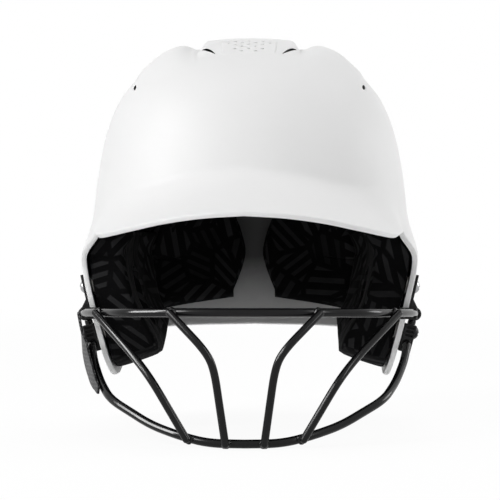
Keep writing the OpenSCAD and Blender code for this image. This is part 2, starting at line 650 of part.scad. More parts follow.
// The crown's foam has an air channel under the vent panel
module crown_foam_block()
    difference() {
        a = crown_point(panel_u + panel_lip, panel_low_v - panel_lip);
        b = crown_point(0, panel_high_v + panel_lip);
        crown_piece(0.72, -0.7, 0.7, foam_depth, foam_t, foam_edge, 10);
        translate([-a[0] - 1, a[1] - 3, a[2] - 30]) cube([2 * a[0] + 2, b[1] - a[1] + 5, 60]);
    }
module brow_cushion()
    side_piece(function(z) -43, function(z) 43, function(b) brow_pad_low_z, function(b) brow_pad_high_z,
        pad_depth, function(z) pad_t, pad_edge, 16, 10);
module side_cushion()
    side_piece(function(z) 46, function(z) ear_end, function(b) side_low_z, function(b) side_high_z,
        pad_depth, function(z) pad_t, pad_edge, 14, 10);
module rear_cushion()
    side_piece(function(z) rear_start, function(z) gap_bearing(z),
        function(b) rear_pad_low_z + (b - rear_start) / 4, function(b) side_high_z,
        pad_depth, function(z) pad_t, pad_edge, 10, 14);
module crown_cushion() crown_piece(0.55, -0.5, 0.5, pad_depth, pad_t, pad_edge, 12);

// Opening for the ear, through the flap and its pad
ear_y = 10;
ear_z = 82;
module ear_opening(grow)
    translate([40, ear_y, ear_z]) rotate([90, 0, 90]) linear_extrude(100) {
        side = (ear_hole_h - ear_hole_w) / 2;
        for (h = [-side, side]) translate([0, h]) circle(ear_hole_w / 2 + grow);
        translate([-ear_hole_w / 2 - grow, -side]) square([ear_hole_w + 2 * grow, 2 * side]);
    }
ear_lift = 7;
module ear_cushion()
    difference() {
        side_piece(function(z) front_edge + 1.5 + edge_shift(z), function(z) ear_end,
            function(b) rim_z(b) + 3.5, function(b) ear_top_z,
            ear_depth, function(z) lerp(ear_pad_low_t, ear_pad_t, smooth((z - 45) / 35)),
            0.88, 16, 16, 0.8, ear_lift);
        ear_opening(2);
    }

// Strap holes near the flaps' lower edges
strap_frame = flap_frame(14, 44);
module shell_bores() {
    ear_opening(0);
    at_frame(upper_frame) translate([0, upper_screw_rise, -20])
        cylinder(h = 30, r = nut_barrel_r + fit);
    at_frame(lower_frame) translate([0, lower_screw_rise, -20])
        cylinder(h = 30, r = nut_barrel_r + fit);
    at_frame(strap_frame) translate([0, 0, -20]) cylinder(h = 30, r = strap_hole_d / 2);
    foot_vent();
    temple_vent();
}
// Curved vent at the foot of the block's front face, cut straight back through the wall
module foot_vent() {
    a = crown_point(foot_u - 0.035, panel_high_v - 0.015);
    b = crown_point(block_u - 0.053, panel_low_v + 0.01);
    function arc(t, up, over) = [lerp(a[0], b[0], t), lerp(a[2], b[2], t) + up + over * 4 * t * (1 - t)];
    translate([0, a[1] + 13, 0]) rotate([90, 0, 0]) linear_extrude(39)
        polygon(concat([for (i = [0:8]) arc(i / 8, 0.15, foot_vent_h)],
            [for (i = [8:-1:0]) arc(i / 8, -0.15, 0.3)]));
}
// Small vent in the side of a ridge
module temple_vent() {
    at = crown_point(ridge_drop_u, face_v);
    translate([at[0], at[1] + 18, at[2]]) rotate([90, 0, 0]) linear_extrude(30)
        scale([0.5, 1]) circle(1.7, $fn = 16);
}
module shell()
    difference() {
        shell_skin();
        shell_bores();
        mirrored() shell_bores();
    }

// Vent panel: a perforated plug in the block's front face, with a lip inside the shell
panel_rows = [2, 3, 2, 3, 4, 3];
module vent_panel() {
    module slab(half_u, v_out, deep, thick) {
        grid = [for (v = [panel_low_v - v_out, -0.49, corner_v, -0.39, panel_high_v + v_out], i = [-2:2])
            let (u = half_u * i / 2, p = crown_point(u, v)) [p, crown_normal(p), crown_rise(u, v)]];
        patch([for (g = grid) g[0] + (g[2] - deep) * g[1]],
            [for (g = grid) g[0] + (g[2] - deep - thick) * g[1]], 4);
    }
    mid = crown_point(0, (panel_low_v + panel_high_v) / 2);
    tilt = atan2(-crown_normal(mid)[1], crown_normal(mid)[2]);
    difference() {
        union() {
            slab(panel_u - 0.004, -0.003, 0.1, wall + clear);
            slab(panel_u + panel_lip, panel_lip, wall + clear, 1.6);
        }
        translate(mid) rotate([tilt - 8, 0, 0])
            for (j = [0:len(panel_rows) - 1], i = [0:panel_rows[j] - 1])
                translate([(i - (panel_rows[j] - 1) / 2) * panel_hole_pitch,
                        (j - (len(panel_rows) - 1) / 2) * panel_row_pitch, -8])
                    cylinder(h = 24, r = panel_hole_d / 2, $fn = 24);
    }
}

liner_grey = [0.12, 0.12, 0.13];
foam_grey = [0.3, 0.3, 0.31];
wire_black = [0.05, 0.05, 0.05];
steel_grey = [0.6, 0.6, 0.62];
white = [0.94, 0.94, 0.94];

module outer_shell() color(white) in_place() shell();
module crown_vent_panel() color(white) in_place() vent_panel();
module brow_foam() color(foam_grey) in_place() brow_foam_block();
module crown_foam() color(foam_grey) in_place() crown_foam_block();
module side_foam_left() color(foam_grey) in_place() side_foam_block();
module side_foam_right() color(foam_grey) in_place() mirrored() side_foam_block();
module rear_foam_left() color(foam_grey) in_place() rear_foam_block();
module rear_foam_right() color(foam_grey) in_place() mirrored() rear_foam_block();
module brow_pad() color(liner_grey) in_place() brow_cushion();
module crown_pad() color(liner_grey) in_place() crown_cushion();
module side_pad_left() color(liner_grey) in_place() side_cushion();
module side_pad_right() color(liner_grey) in_place() mirrored() side_cushion();
module rear_pad_left() color(liner_grey) in_place() rear_cushion();
module rear_pad_right() color(liner_grey) in_place() mirrored() rear_cushion();
module ear_pad_left() color(liner_grey) in_place() ear_cushion();
module ear_pad_right() color(liner_grey) in_place() mirrored() ear_cushion();
module cage_top_wire() color(wire_black) in_place() wire(top_path, bar_r, [0, 0, 1]);
module cage_bottom_wire() color(wire_black) in_place() wire(bottom_path, bar_r, [0, 0, 1]);
module cage_inner_strut_left() color(wire_black) in_place() strut(inner_strut);
module cage_inner_strut_right() color(wire_black) in_place() mirrored() strut(inner_strut);
module cage_outer_strut_left() color(wire_black) in_place() strut(outer_strut);
module cage_outer_strut_right() color(wire_black) in_place() mirrored() strut(outer_strut);
module cage_side_plate() color(foam_grey) in_place() mirrored() side_plate();
module upper_clip_left() color(wire_black) in_place() upper_clip();
module upper_clip_right() color(wire_black) in_place() mirrored() upper_clip();
module lower_clip_left() color(wire_black) in_place() lower_clip();
module lower_clip_right() color(wire_black) in_place() mirrored() lower_clip();
module spacer_block_left() color(wire_black) in_place() spacer_block();
module spacer_block_right() color(wire_black) in_place() mirrored() spacer_block();
module upper_screw_left() color(steel_grey) in_place() upper_screw();
module upper_screw_right() color(steel_grey) in_place() mirrored() upper_screw();
module lower_screw_left() color(steel_grey) in_place() lower_screw();
module lower_screw_right() color(steel_grey) in_place() mirrored() lower_screw();
module upper_tee_nut_left() color(steel_grey) in_place() upper_tee_nut();
module upper_tee_nut_right() color(steel_grey) in_place() mirrored() upper_tee_nut();
module lower_tee_nut_left() color(steel_grey) in_place() lower_tee_nut();
module lower_tee_nut_right() color(steel_grey) in_place() mirrored() lower_tee_nut();

outer_shell();
crown_vent_panel();
brow_foam();
crown_foam();
side_foam_left();
side_foam_right();
rear_foam_left();
rear_foam_right();
brow_pad();
crown_pad();
side_pad_left();
side_pad_right();
rear_pad_left();
rear_pad_right();
ear_pad_left();
ear_pad_right();
cage_top_wire();
cage_bottom_wire();
cage_inner_strut_left();
cage_inner_strut_right();
cage_outer_strut_left();
cage_outer_strut_right();
cage_side_plate();
upper_clip_left();
upper_clip_right();
lower_clip_left();
lower_clip_right();
spacer_block_left();
spacer_block_right();
upper_screw_left();
upper_screw_right();
lower_screw_left();
lower_screw_right();
upper_tee_nut_left();
upper_tee_nut_right();
lower_tee_nut_left();
lower_tee_nut_right();
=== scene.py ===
"""Batting helmet with a wire face cage: its looks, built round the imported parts."""

import math

import bmesh
import bpy
import numpy as np
from mathutils import Matrix, Vector


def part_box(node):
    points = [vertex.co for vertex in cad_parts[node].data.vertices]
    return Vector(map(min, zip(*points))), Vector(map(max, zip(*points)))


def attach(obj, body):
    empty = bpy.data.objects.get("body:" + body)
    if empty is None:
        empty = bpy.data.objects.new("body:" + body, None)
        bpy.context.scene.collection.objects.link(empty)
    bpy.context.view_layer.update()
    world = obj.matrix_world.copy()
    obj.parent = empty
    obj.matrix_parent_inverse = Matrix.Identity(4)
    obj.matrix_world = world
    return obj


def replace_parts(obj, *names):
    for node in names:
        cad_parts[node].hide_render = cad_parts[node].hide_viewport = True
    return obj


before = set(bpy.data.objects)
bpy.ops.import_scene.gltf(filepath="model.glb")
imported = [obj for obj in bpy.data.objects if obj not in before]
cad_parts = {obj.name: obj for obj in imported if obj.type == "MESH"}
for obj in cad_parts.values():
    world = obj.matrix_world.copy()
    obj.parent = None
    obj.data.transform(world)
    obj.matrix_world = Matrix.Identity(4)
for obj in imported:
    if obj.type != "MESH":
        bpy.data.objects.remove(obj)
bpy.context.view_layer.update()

# Sizes are in millimetres in the head's own frame: the head's axis at x = y = 0, the face toward -Y.
MM = 0.001
DOME_HALF_W, DOME_FRONT, DOME_REAR, DOME_H = 98.0, 118.0, 121.0, 106.5
WALL = 3.2
EAR_BULGE, JAW_TUCK, SWELL_TOP, SWELL_DROP, NAPE_TUCK = 5.8, 12.5, 136.0, 28.0, 10.0
SIDE_FLAT, FLAT_LOW, FLAT_HIGH = 2.0, 132.0, 206.0
FLAP_Z, REAR_Z, WIDEST_Z = 32.5, 60.0, 130.0
BILL_LEN, BILL_EDGE_Z, BILL_ARCH, BILL_RISE, BILL_HALF_ANGLE = 54.0, 131.6, 12.0, 28.0, 60.0
BLOCK_RISE, RIDGE_RISE = 7.25, 6.5
TOP_POWER, PLAN_POWER, BORDER_SHARE = 2.6, 2.25, 0.93
FRONT_EDGE, TEMPLE_NOTCH, TEMPLE_SHARE, TEMPLE_BLEND = 60.0, 4.5, 0.8, 28.0
TEMPLE_Z = BILL_EDGE_Z - TEMPLE_SHARE * BILL_ARCH
FOAM_T, PAD_T, EAR_PAD_T, EAR_PAD_LOW_T = 10.0, 9.0, 23.0, 29.5
EAR_HOLE_W, EAR_HOLE_H, EAR_Y, EAR_Z = 26.0, 34.0, 10.0, 82.0
LAYER_GAP, CLEAR, FIT, SEAT, WELD = 0.8, 0.3, 0.15, 0.4, 0.2
BAR_R, STRUT_R = 2.5, 2.25
TOP_REACH, BOTTOM_REACH, TOP_WIRE_Z = 158.0, 150.0, 74.5
CLIP_T, SCREW_D, CLIP_Y = 1.4, 4.0, -37.0
PANEL_HOLE_D, PANEL_HOLE_PITCH, PANEL_ROW_PITCH, FOOT_VENT_H = 1.8, 8.4, 3.7, 1.8
PANEL_ROWS = [2, 3, 2, 3, 4, 3]

# The part stands over the middle of its box; the head's frame is moved back to match
SHIFT_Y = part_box("outer_shell")[0].y / MM + DOME_FRONT + BILL_LEN


# Numbers and curves


def sin(degrees):
    return np.sin(np.radians(degrees))


def cos(degrees):
    return np.cos(np.radians(degrees))


def lerp(a, b, t):
    return a + (b - a) * t


def smooth(t):
    c = np.clip(t, 0, 1)
    return c * c * (3 - 2 * c)


def unit(v):
    v = np.asarray(v, float)
    return v / np.linalg.norm(v, axis=-1, keepdims=True)


def curve(knots, t):
    """Value at t of a smooth curve through knots (t, value)."""
    x, y = np.array(knots, float).T
    slope = np.gradient(y, x)
    slope[1:-1] = (y[2:] - y[:-2]) / (x[2:] - x[:-2])
    t = np.clip(t, x[0], x[-1])
    i = np.clip(np.searchsorted(x, t, "right") - 1, 0, len(x) - 2)
    step = x[i + 1] - x[i]
    s = (t - x[i]) / step
    return ((2 * s**3 - 3 * s**2 + 1) * y[i] + (s**3 - 2 * s**2 + s) * slope[i] * step
            + (3 * s**2 - 2 * s**3) * y[i + 1] + (s**3 - s**2) * slope[i + 1] * step)


def refined(lines, parts):
    """The same lines with each interval cut into equal parts."""
    return np.concatenate([np.linspace(a, b, parts, endpoint=False) for a, b in zip(lines, lines[1:])]
                          + [lines[-1:]])


# Shell surface: its radius at a bearing from straight ahead and a height


def section(z):
    return np.where(z <= WIDEST_Z, 1.0, np.clip(
        1 - (np.maximum(z - WIDEST_Z, 0) / DOME_H) ** TOP_POWER, 0, 1) ** (1 / TOP_POWER))


def half_w(z):
    drop = SWELL_TOP - z
    low = np.maximum(drop - SWELL_DROP, 0) / (SWELL_TOP - FLAP_Z - SWELL_DROP)
    swell = np.where(drop < SWELL_DROP, EAR_BULGE * smooth(drop / SWELL_DROP),
                     EAR_BULGE - (EAR_BULGE + JAW_TUCK) * low**1.2)
    flat = SIDE_FLAT * sin(180 * np.clip((z - FLAT_LOW) / (FLAT_HIGH - FLAT_LOW), 0, 1))
    return DOME_HALF_W + np.where(drop <= 0, 0, swell) - flat


def rear_len(z):
    return DOME_REAR - NAPE_TUCK * (np.maximum(WIDEST_Z - z, 0) / (WIDEST_Z - REAR_Z)) ** 1.5


def power(front, z):
    return PLAN_POWER + np.where(front, 1.75 * smooth((TEMPLE_Z + 0.5 - z) / TEMPLE_BLEND),
                                 0.6 * smooth((WIDEST_Z - z) / SWELL_DROP))


def radius(bearing, z):
    front = cos(bearing) > 0
    p = power(front, z)
    length = np.where(front, DOME_FRONT, rear_len(z))
    across = (np.abs(sin(bearing)) / half_w(z)) ** p
    return section(z) * (across + (np.abs(cos(bearing)) / length) ** p) ** (-1 / p)


BILL_KNOTS = [[0, 0], [8, 0.12], [16, 0.367], [24, 0.683], [32, 0.91], [38, 0.99], [44, 0.9], [52, 0.82],
              [BILL_HALF_ANGLE, TEMPLE_SHARE]]


def bill_z(bearing):
    return BILL_EDGE_Z - BILL_ARCH * curve(BILL_KNOTS, np.abs(bearing))


def bill_out(bearing, z):
    swing = np.maximum(cos(90 * bearing / BILL_HALF_ANGLE), 0) ** 1.3
    reach = np.clip((bill_z(bearing) + BILL_RISE - z) / BILL_RISE, 0, 1) ** 1.5
    return np.where(np.abs(bearing) < BILL_HALF_ANGLE, BILL_LEN * swing * reach, 0)


def shell_radius(bearing, z, bill):
    turned = (bearing + 180) % 360 - 180
    return radius(bearing, z) + (bill_out(turned, z) if bill else 0)


def side_point(bearing, z, bill=False):
    r = shell_radius(bearing, z, bill)
    return np.stack([r * sin(bearing), -r * cos(bearing), z + 0 * r], -1)


def side_normal(bearing, z, bill=False):
    d = 0.4
    r = shell_radius(bearing, z, bill)
    turn = (shell_radius(bearing + d, z, bill) - shell_radius(bearing - d, z, bill)) / np.radians(2 * d)
    rise = (shell_radius(bearing, z + d, bill) - shell_radius(bearing, z - d, bill)) / (2 * d)
    return unit(np.stack([sin(bearing) - turn / r * cos(bearing), -cos(bearing) - turn / r * sin(bearing),
                          -rise], -1))


# Crown: a square grid laid over the top of the dome


def crown_point(u, v):
    u, v = np.asarray(u, float), np.asarray(v, float)
    across, along = u * np.sqrt(1 - v * v / 2), v * np.sqrt(1 - u * u / 2)
    share = BORDER_SHARE * np.hypot(across, along)
    bearing = np.degrees(np.arctan2(across, -along))
    level = WIDEST_Z + DOME_H * (1 - share**TOP_POWER) ** (1 / TOP_POWER)
    r = radius(bearing, level)
    return np.stack([r * sin(bearing), -r * cos(bearing), level], -1)


def crown_normal(p):
    length = np.where(p[..., 1] < 0, DOME_FRONT, DOME_REAR)
    x, y = np.abs(p[..., 0]) / DOME_HALF_W, np.abs(p[..., 1]) / length
    pull = np.maximum(x**PLAN_POWER + y**PLAN_POWER, 1e-12) ** (TOP_POWER / PLAN_POWER - 1)
    return unit(np.stack([
        pull * x ** (PLAN_POWER - 1) / DOME_HALF_W * np.sign(p[..., 0]),
        pull * y ** (PLAN_POWER - 1) / length * np.sign(p[..., 1]),
        ((p[..., 2] - WIDEST_Z) / DOME_H) ** (TOP_POWER - 1) / DOME_H], -1))


PANEL_U, PANEL_LIP, BLOCK_U, FOOT_U = 0.155, 0.028, 0.253, 0.315
RIDGE_FOOT_U, RIDGE_MID_U, RIDGE_TOP_U, RIDGE_DROP_U = 0.36, 0.5, 0.72, 0.765
FACE_V, PANEL_LOW_V, CORNER_V, PANEL_HIGH_V = -0.56, -0.535, -0.44, -0.345
HALF_LINES = [0, PANEL_U, 0.205, BLOCK_U, FOOT_U, RIDGE_FOOT_U, 0.42, RIDGE_MID_U, 0.58, 0.65,
              RIDGE_TOP_U, RIDGE_DROP_U, 0.88, 1]
LONG_LINES = [-1, -0.9, -0.8, -0.7, -0.63, FACE_V, PANEL_LOW_V, CORNER_V, PANEL_HIGH_V, -0.26, -0.13, 0,
              0.15, 0.3, 0.45, 0.6, 0.72, 0.83, 0.92, 1]
UPPER_ROWS, SKIRT_ROWS = 8, 7
RIDGE_KNOTS = [[FOOT_U, 0.2], [RIDGE_FOOT_U, 0.35], [0.42, 0.9], [RIDGE_MID_U, 1], [0.58, 0.88],
               [0.65, 0.64], [RIDGE_TOP_U, 0.46], [RIDGE_DROP_U, 0.2], [0.88, 0.08], [1, 0]]
BLOCK_KNOTS = [[FACE_V, 0], [PANEL_LOW_V, 0.08], [PANEL_HIGH_V, 0.6], [-0.13, 0.86], [0, 0.95], [0.15, 1]]
RIM_KNOTS = [[FRONT_EDGE, 19], [64, 10], [69, 4.5], [76, 1], [86, 0], [96, 0.8], [106, 3],
             [116, 7.5], [126, 15], [136, REAR_Z - FLAP_Z - 5], [150, REAR_Z - FLAP_Z - 1.5],
             [180, REAR_Z - FLAP_Z]]


def crown_rise(u, v):
    """Rise of the block and the ridges above the dome."""
    a = np.abs(u)
    ridge_shape = np.where((a <= FOOT_U) | (a >= 1), 0, curve(RIDGE_KNOTS, a))
    block = smooth((FOOT_U - a) / (FOOT_U - BLOCK_U)) * curve(BLOCK_KNOTS, v) \
        * lerp(1, 0.5, smooth((v - 0.2) / 0.8))
    ridge = ridge_shape * smooth((v + 0.75) / 0.5) * lerp(1, 0.25, smooth((v - 0.3) / 0.7))
    return np.maximum(BLOCK_RISE * block, RIDGE_RISE * ridge)


def rim_z(bearing):
    return FLAP_Z + curve(RIM_KNOTS, bearing)


def edge_shift(z):
    return TEMPLE_NOTCH * sin(180 * np.clip((TEMPLE_Z - z) / (TEMPLE_Z - 80), 0, 1)) ** 2


def shell_grid(parts):
    """The shell's outer points, normals and rise, and its quads, at parts times the CAD grid's lines."""
    cross = [-x for x in HALF_LINES[:0:-1]] + HALF_LINES
    us, vs = refined(np.array(cross), parts), refined(np.array(LONG_LINES), parts)
    nu, nv = len(us) - 1, len(vs) - 1
    border = 2 * (nu + nv)
    vv, uu = np.meshgrid(vs, us, indexing="ij")
    crown = crown_point(uu, vv).reshape(-1, 3)

    c = np.arange(border)
    bi = np.select([c < nu, c < nu + nv, c < 2 * nu + nv], [c, nu, 2 * nu + nv - c], 0)
    bj = np.select([c < nu, c < nu + nv, c < 2 * nu + nv], [0 * c, c - nu, nv], 2 * (nu + nv) - c)
    bu, bv = us[bi], vs[bj]
    bearing = np.degrees(np.arctan2(bu * np.sqrt(1 - bv * bv / 2), -bv * np.sqrt(1 - bu * bu / 2)))
    first = nu + 2 * parts
    last = 2 * nu + 2 * nv + nu - first
    a = np.abs(bearing)
    waist = np.sign(bearing) * np.where(
        a <= bearing[first], a * FRONT_EDGE / bearing[first],
        lerp(FRONT_EDGE, 180, (a - bearing[first]) / (180 - bearing[first])))
    top_z = WIDEST_Z + DOME_H * (1 - BORDER_SHARE**TOP_POWER) ** (1 / TOP_POWER)
    low = np.where(np.abs(waist) < FRONT_EDGE, bill_z(waist), TEMPLE_Z)
    upper, rows = UPPER_ROWS * parts, (UPPER_ROWS + SKIRT_ROWS) * parts
    bearings, levels = [], []
    for row in range(1, rows + 1):
        if row <= upper:
            s = row / upper
            bearings.append(lerp(bearing, waist, smooth(s)))
            levels.append(lerp(top_z, low, s * (1.35 - 0.35 * s)))
        else:
            z = lerp(TEMPLE_Z, rim_z(np.abs(waist)), (row - upper) / (rows - upper))
            near = np.clip(1 - (np.abs(waist) - FRONT_EDGE) / 35, 0, 1)
            bearings.append(waist + np.sign(waist) * edge_shift(z) * near)
            levels.append(z)
    bearings, levels = np.array(bearings), np.array(levels)
    rear = np.where(bj == nv, crown_rise(bu, np.ones(border)), 0)
    fade = 1 - smooth(np.arange(1, rows + 1) / parts / (UPPER_ROWS + 1))
    points = np.concatenate([crown, side_point(bearings, levels, True).reshape(-1, 3)])
    normals = np.concatenate([crown_normal(crown), side_normal(bearings, levels, True).reshape(-1, 3)])
    rise = np.concatenate([crown_rise(uu, vv).ravel(), (fade[:, None] * rear[None]).ravel()])

    def side_index(row, col):
        col = col % border
        return np.where(row == 0, bj[col] * (nu + 1) + bi[col], (nu + 1) * (nv + 1) + (row - 1) * border + col)

    j, i = (g.ravel() for g in np.meshgrid(np.arange(nv), np.arange(nu), indexing="ij"))
    u, v = np.abs(us[i] + us[i + 1]) / 2, (vs[j] + vs[j + 1]) / 2
    shut = ~(((u < PANEL_U) & (v > PANEL_LOW_V) & (v < PANEL_HIGH_V))
             | ((u > RIDGE_TOP_U) & (u < RIDGE_DROP_U)
                & (((v > -0.26) & (v < -0.13)) | ((v > 0) & (v < 0.15)) | ((v > 0.3) & (v < 0.45))))
             | ((u > RIDGE_FOOT_U) & (u < 0.42) & (v > 0.72) & (v < 0.92)))
    j, i = j[shut], i[shut]
    at = j * (nu + 1) + i
    quads = [np.stack([at, at + 1, at + nu + 2, at + nu + 1], -1)]
    r, k = (g.ravel() for g in np.meshgrid(np.arange(rows), c, indexing="ij"))
    keep = (r < upper) | ((k >= first) & (k < last))
    r, k = r[keep], k[keep]
    quads.append(np.stack([side_index(r, k), side_index(r + 1, k), side_index(r + 1, k + 1),
                           side_index(r, k + 1)], -1))
    return points, normals, rise, np.concatenate(quads)


# Pieces


def placed(points, mirror=False):
    """Millimetres in the head's frame to metres in the part's."""
    points = np.array(points, float)
    if mirror:
        points[:, 0] *= -1
    return (points + [0, SHIFT_Y, 0]) * MM


def piece(name, points, faces, material, slot, uv=None, mirror=False, inside=None):
    """A new mesh piece on the helmet's body; inside is a second material and the faces that take it."""
    if mirror:
        faces = [f[::-1] for f in faces]
    mesh = bpy.data.meshes.new(name)
    mesh.from_pydata(placed(points, mirror).tolist(), [], [list(map(int, f)) for f in faces])
    if uv is not None:
        layer = mesh.uv_layers.new(name="UVMap")
        index = np.zeros(len(mesh.loops), np.int32)
        mesh.loops.foreach_get("vertex_index", index)
        layer.data.foreach_set("uv", np.asarray(uv, np.float32)[index].ravel())
    mesh.materials.append(material)
    if inside is not None:
        mesh.materials.append(inside[0])
        mesh.polygons.foreach_set("material_index", np.asarray(inside[1], np.int32))
    mesh.update()
    mesh.shade_smooth()
    o = bpy.data.objects.new(name, mesh)
    bpy.context.scene.collection.objects.link(o)
    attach(o, "root")
    return o


def two_skins(outer, inner, quads, bulge, rings=6, seam=0.0):
    """Points and faces of a closed form between two skins, with a rounded rim; seam is a ridge along it."""
    outer, inner = outer.copy(), inner.copy()
    n = len(outer)
    a, b = quads.ravel(), np.roll(quads, -1, 1).ravel()
    back, ahead = np.roll(quads, 1, 1).ravel(), np.roll(quads, -2, 1).ravel()
    edges = set(zip(a.tolist(), b.tolist()))
    rim = np.array([(b.item(), a.item()) not in edges for a, b in zip(a, b)])
    a, b, back, ahead = a[rim], b[rim], back[rim], ahead[rim]
    pull, near = np.zeros((n, 3)), np.full(n, 1e9)
    for p, q in ((a, back), (b, ahead)):
        step = outer[p] - outer[q]
        np.add.at(pull, p, unit(step))
        np.minimum.at(near, p, np.linalg.norm(step, axis=1))
    verts = np.unique(a)
    normal = unit(outer[verts] - inner[verts])
    out = pull[verts] - np.sum(pull[verts] * normal, 1)[:, None] * normal
    out = unit(out)
    half = np.linalg.norm(outer[verts] - inner[verts], axis=1)[:, None] / 2
    shift = np.minimum(bulge, 0.45 * near[verts])[:, None]
    outer[verts] -= shift * out
    inner[verts] -= shift * out
    middle = (outer[verts] + inner[verts]) / 2
    spot = np.full(n, -1)
    spot[verts] = np.arange(len(verts))
    points, faces, level = [outer, inner], [quads, quads[:, ::-1] + n], 2 * n
    above = a, b
    for k in range(1, rings + 1):
        angle = 180 * k / rings
        if k < rings:
            swell = shift * sin(angle) ** 0.8 + (seam if abs(angle - 90) < 100 / rings else 0)
            points.append(middle + half * cos(angle) * normal + swell * out)
            below = spot[a] + level, spot[b] + level
            level += len(verts)
        else:
            below = a + n, b + n
        faces.append(np.stack([above[1], above[0], below[0], below[1]], -1))
        above = below
    return np.concatenate(points), np.concatenate(faces)


def baked(o):
    """Applies the object's modifiers."""
    mesh = bpy.data.meshes.new_from_object(o.evaluated_get(bpy.context.evaluated_depsgraph_get()))
    o.modifiers.clear()
    o.data = mesh
    return o


def cut(o, cutters):
    """Takes the cutters' volume out of the object and removes them."""
    for cutter in cutters:
        step = o.modifiers.new("cut", "BOOLEAN")
        step.operation, step.object, step.solver = "DIFFERENCE", cutter, "EXACT"
        baked(o)
    for cutter in cutters:
        bpy.data.objects.remove(cutter)
    return o


def prism(outline, depth, matrix, slot=0):
    """A cutter with a given outline in the matrix's XY plane, both ways along its Z; slot is its walls' material."""
    n = len(outline)
    points = [matrix @ Vector((x, y, z)) for z in (-depth, depth) for x, y in outline]
    faces = [list(range(n))[::-1], [n + k for k in range(n)]]
    faces += [[k, (k + 1) % n, n + (k + 1) % n, n + k] for k in range(n)]
    if matrix.determinant() < 0:
        faces = [f[::-1] for f in faces]
    mesh = bpy.data.meshes.new("cutter")
    mesh.from_pydata([p * MM for p in points], [], faces)
    mesh.polygons.foreach_set("material_index", [slot] * len(faces))
    o = bpy.data.objects.new("cutter", mesh)
    bpy.context.scene.collection.objects.link(o)
    return o


def circle(r, n=32):
    return [(r * cos(360 * k / n), r * sin(360 * k / n)) for k in range(n)]


def stadium(width, height, n=16):
    r, side = width / 2, (height - width) / 2
    top = [(r * cos(180 * k / n), side + r * sin(180 * k / n)) for k in range(n + 1)]
    return top + [(-x, -y) for x, y in top]


# Places on the flap's face: x running back, y up the face and z outward


def flap_x(y, z):
    p = power(y < 0, z)
    length = DOME_FRONT if y < 0 else rear_len(z)
    return half_w(z) * (1 - (abs(y) / length) ** p) ** (1 / p)


def flap_frame(y, z):
    d = 0.5
    n = unit([1, -(flap_x(y + d, z) - flap_x(y - d, z)) / (2 * d),
              -(flap_x(y, z + d) - flap_x(y, z - d)) / (2 * d)])
    b = unit(np.cross([0, 0, 1], n))
    return [b, np.cross(n, b), n, np.array([flap_x(y, z), y, z])]


def in_frame(f, x, y, z):
    return f[3] + x * f[0] + y * f[1] + z * f[2]


def matrix_of(f, mirror=False):
    m = Matrix.Identity(4)
    for i in range(3):
        for k in range(4):
            m[i][k] = float(f[k][i])
    m = Matrix.Translation((0, SHIFT_Y, 0)) @ m
    return Matrix.Diagonal((-1, 1, 1, 1)) @ m if mirror else m


upper_frame = flap_frame(CLIP_Y, 85.0)
lower_frame = flap_frame(CLIP_Y, 59.0)
strap_frame = flap_frame(14.0, 44.0)
WIRE_OUT = SEAT + CLIP_T + FIT + BAR_R
UPPER_DROP, LOWER_DROP, UPPER_SCREW, LOWER_SCREW = 12.5, 4.5, 3.5, 3.0
upper_run = [in_frame(upper_frame, a, -UPPER_DROP, WIRE_OUT) for a in (-9, 9)]
lower_run = [in_frame(lower_frame, a, -LOWER_DROP, WIRE_OUT) for a in (-11, 10.5)]


# Bent wires


def bent(path, reaches, n=8):
    """Straight runs joined by smooth bends of a given reach."""
    path = [np.asarray(p, float) for p in path]
    out = [path[0]]
    for i in range(1, len(path) - 1):
        b = path[i]
        p, q = (b + unit(x - b) * min(reaches[i - 1], 0.48 * np.linalg.norm(x - b))
                for x in (path[i - 1], path[i + 1]))
        out += [(1 - t) ** 2 * p + 2 * t * (1 - t) * b + t * t * q for t in np.linspace(0, 1, n + 1)]
    return np.array(out + [path[-1]])


def whole(half):
    """A wire from one side to the other, from its half on the wearer's left."""
    return np.concatenate([half[::-1] * [-1, 1, 1], half[1:]])


def reach_x(path, x):
    """Point and heading where a half wire reaches a given distance from the middle."""
    i = int(np.argmax(path[1:, 0] >= x))
    t = (x - path[i, 0]) / (path[i + 1, 0] - path[i, 0])
    return lerp(path[i], path[i + 1], t), unit(path[i + 1] - path[i])


top_knots = [[0, -TOP_REACH, TOP_WIRE_Z + 1.5], [40, -TOP_REACH + 8, TOP_WIRE_Z + 1.3],
             [71, -TOP_REACH + 29, TOP_WIRE_Z + 0.5], [89, -94, TOP_WIRE_Z - 0.6],
             [98, -68, TOP_WIRE_Z - 1.4], *upper_run, upper_run[1] + 3.5 * upper_frame[0]]
top_half = bent(top_knots, [12] * 6)
loop_top = upper_run[1] + 1.5 * upper_frame[0] - (2 * BAR_R + WELD) * upper_frame[1]
bottom_knots = [[0, -BOTTOM_REACH, BAR_R], [20, -BOTTOM_REACH + 1, BAR_R + 0.2],
                [36, -BOTTOM_REACH + 8, BAR_R + 3.5], [54, -BOTTOM_REACH + 23, BAR_R + 8.5],
                [79.5, -103, 24], [87.5, -80, 33], [93.5, -59, 44.5], *lower_run, loop_top]
bottom_half = bent(bottom_knots, [10] * 6 + [3.5] * 2)


def ahead_of(at):
    return at[0] + (BAR_R + STRUT_R + WELD) * unit(np.cross(at[1], [0, 0, 1]))


inner_top, inner_foot = ahead_of(reach_x(top_half, 40)), ahead_of(reach_x(bottom_half, 10.5))
outer_top, outer_foot = ahead_of(reach_x(top_half, 83.5)), ahead_of(reach_x(bottom_half, 30.5))
inner_strut = bent([inner_top, [21.5, -164, 55], [16.8, -162, 45], inner_foot], [11] * 2)
outer_strut = bent([outer_top, [63, -136, 50.5], [52.5, -146, 38], outer_foot], [11] * 2)


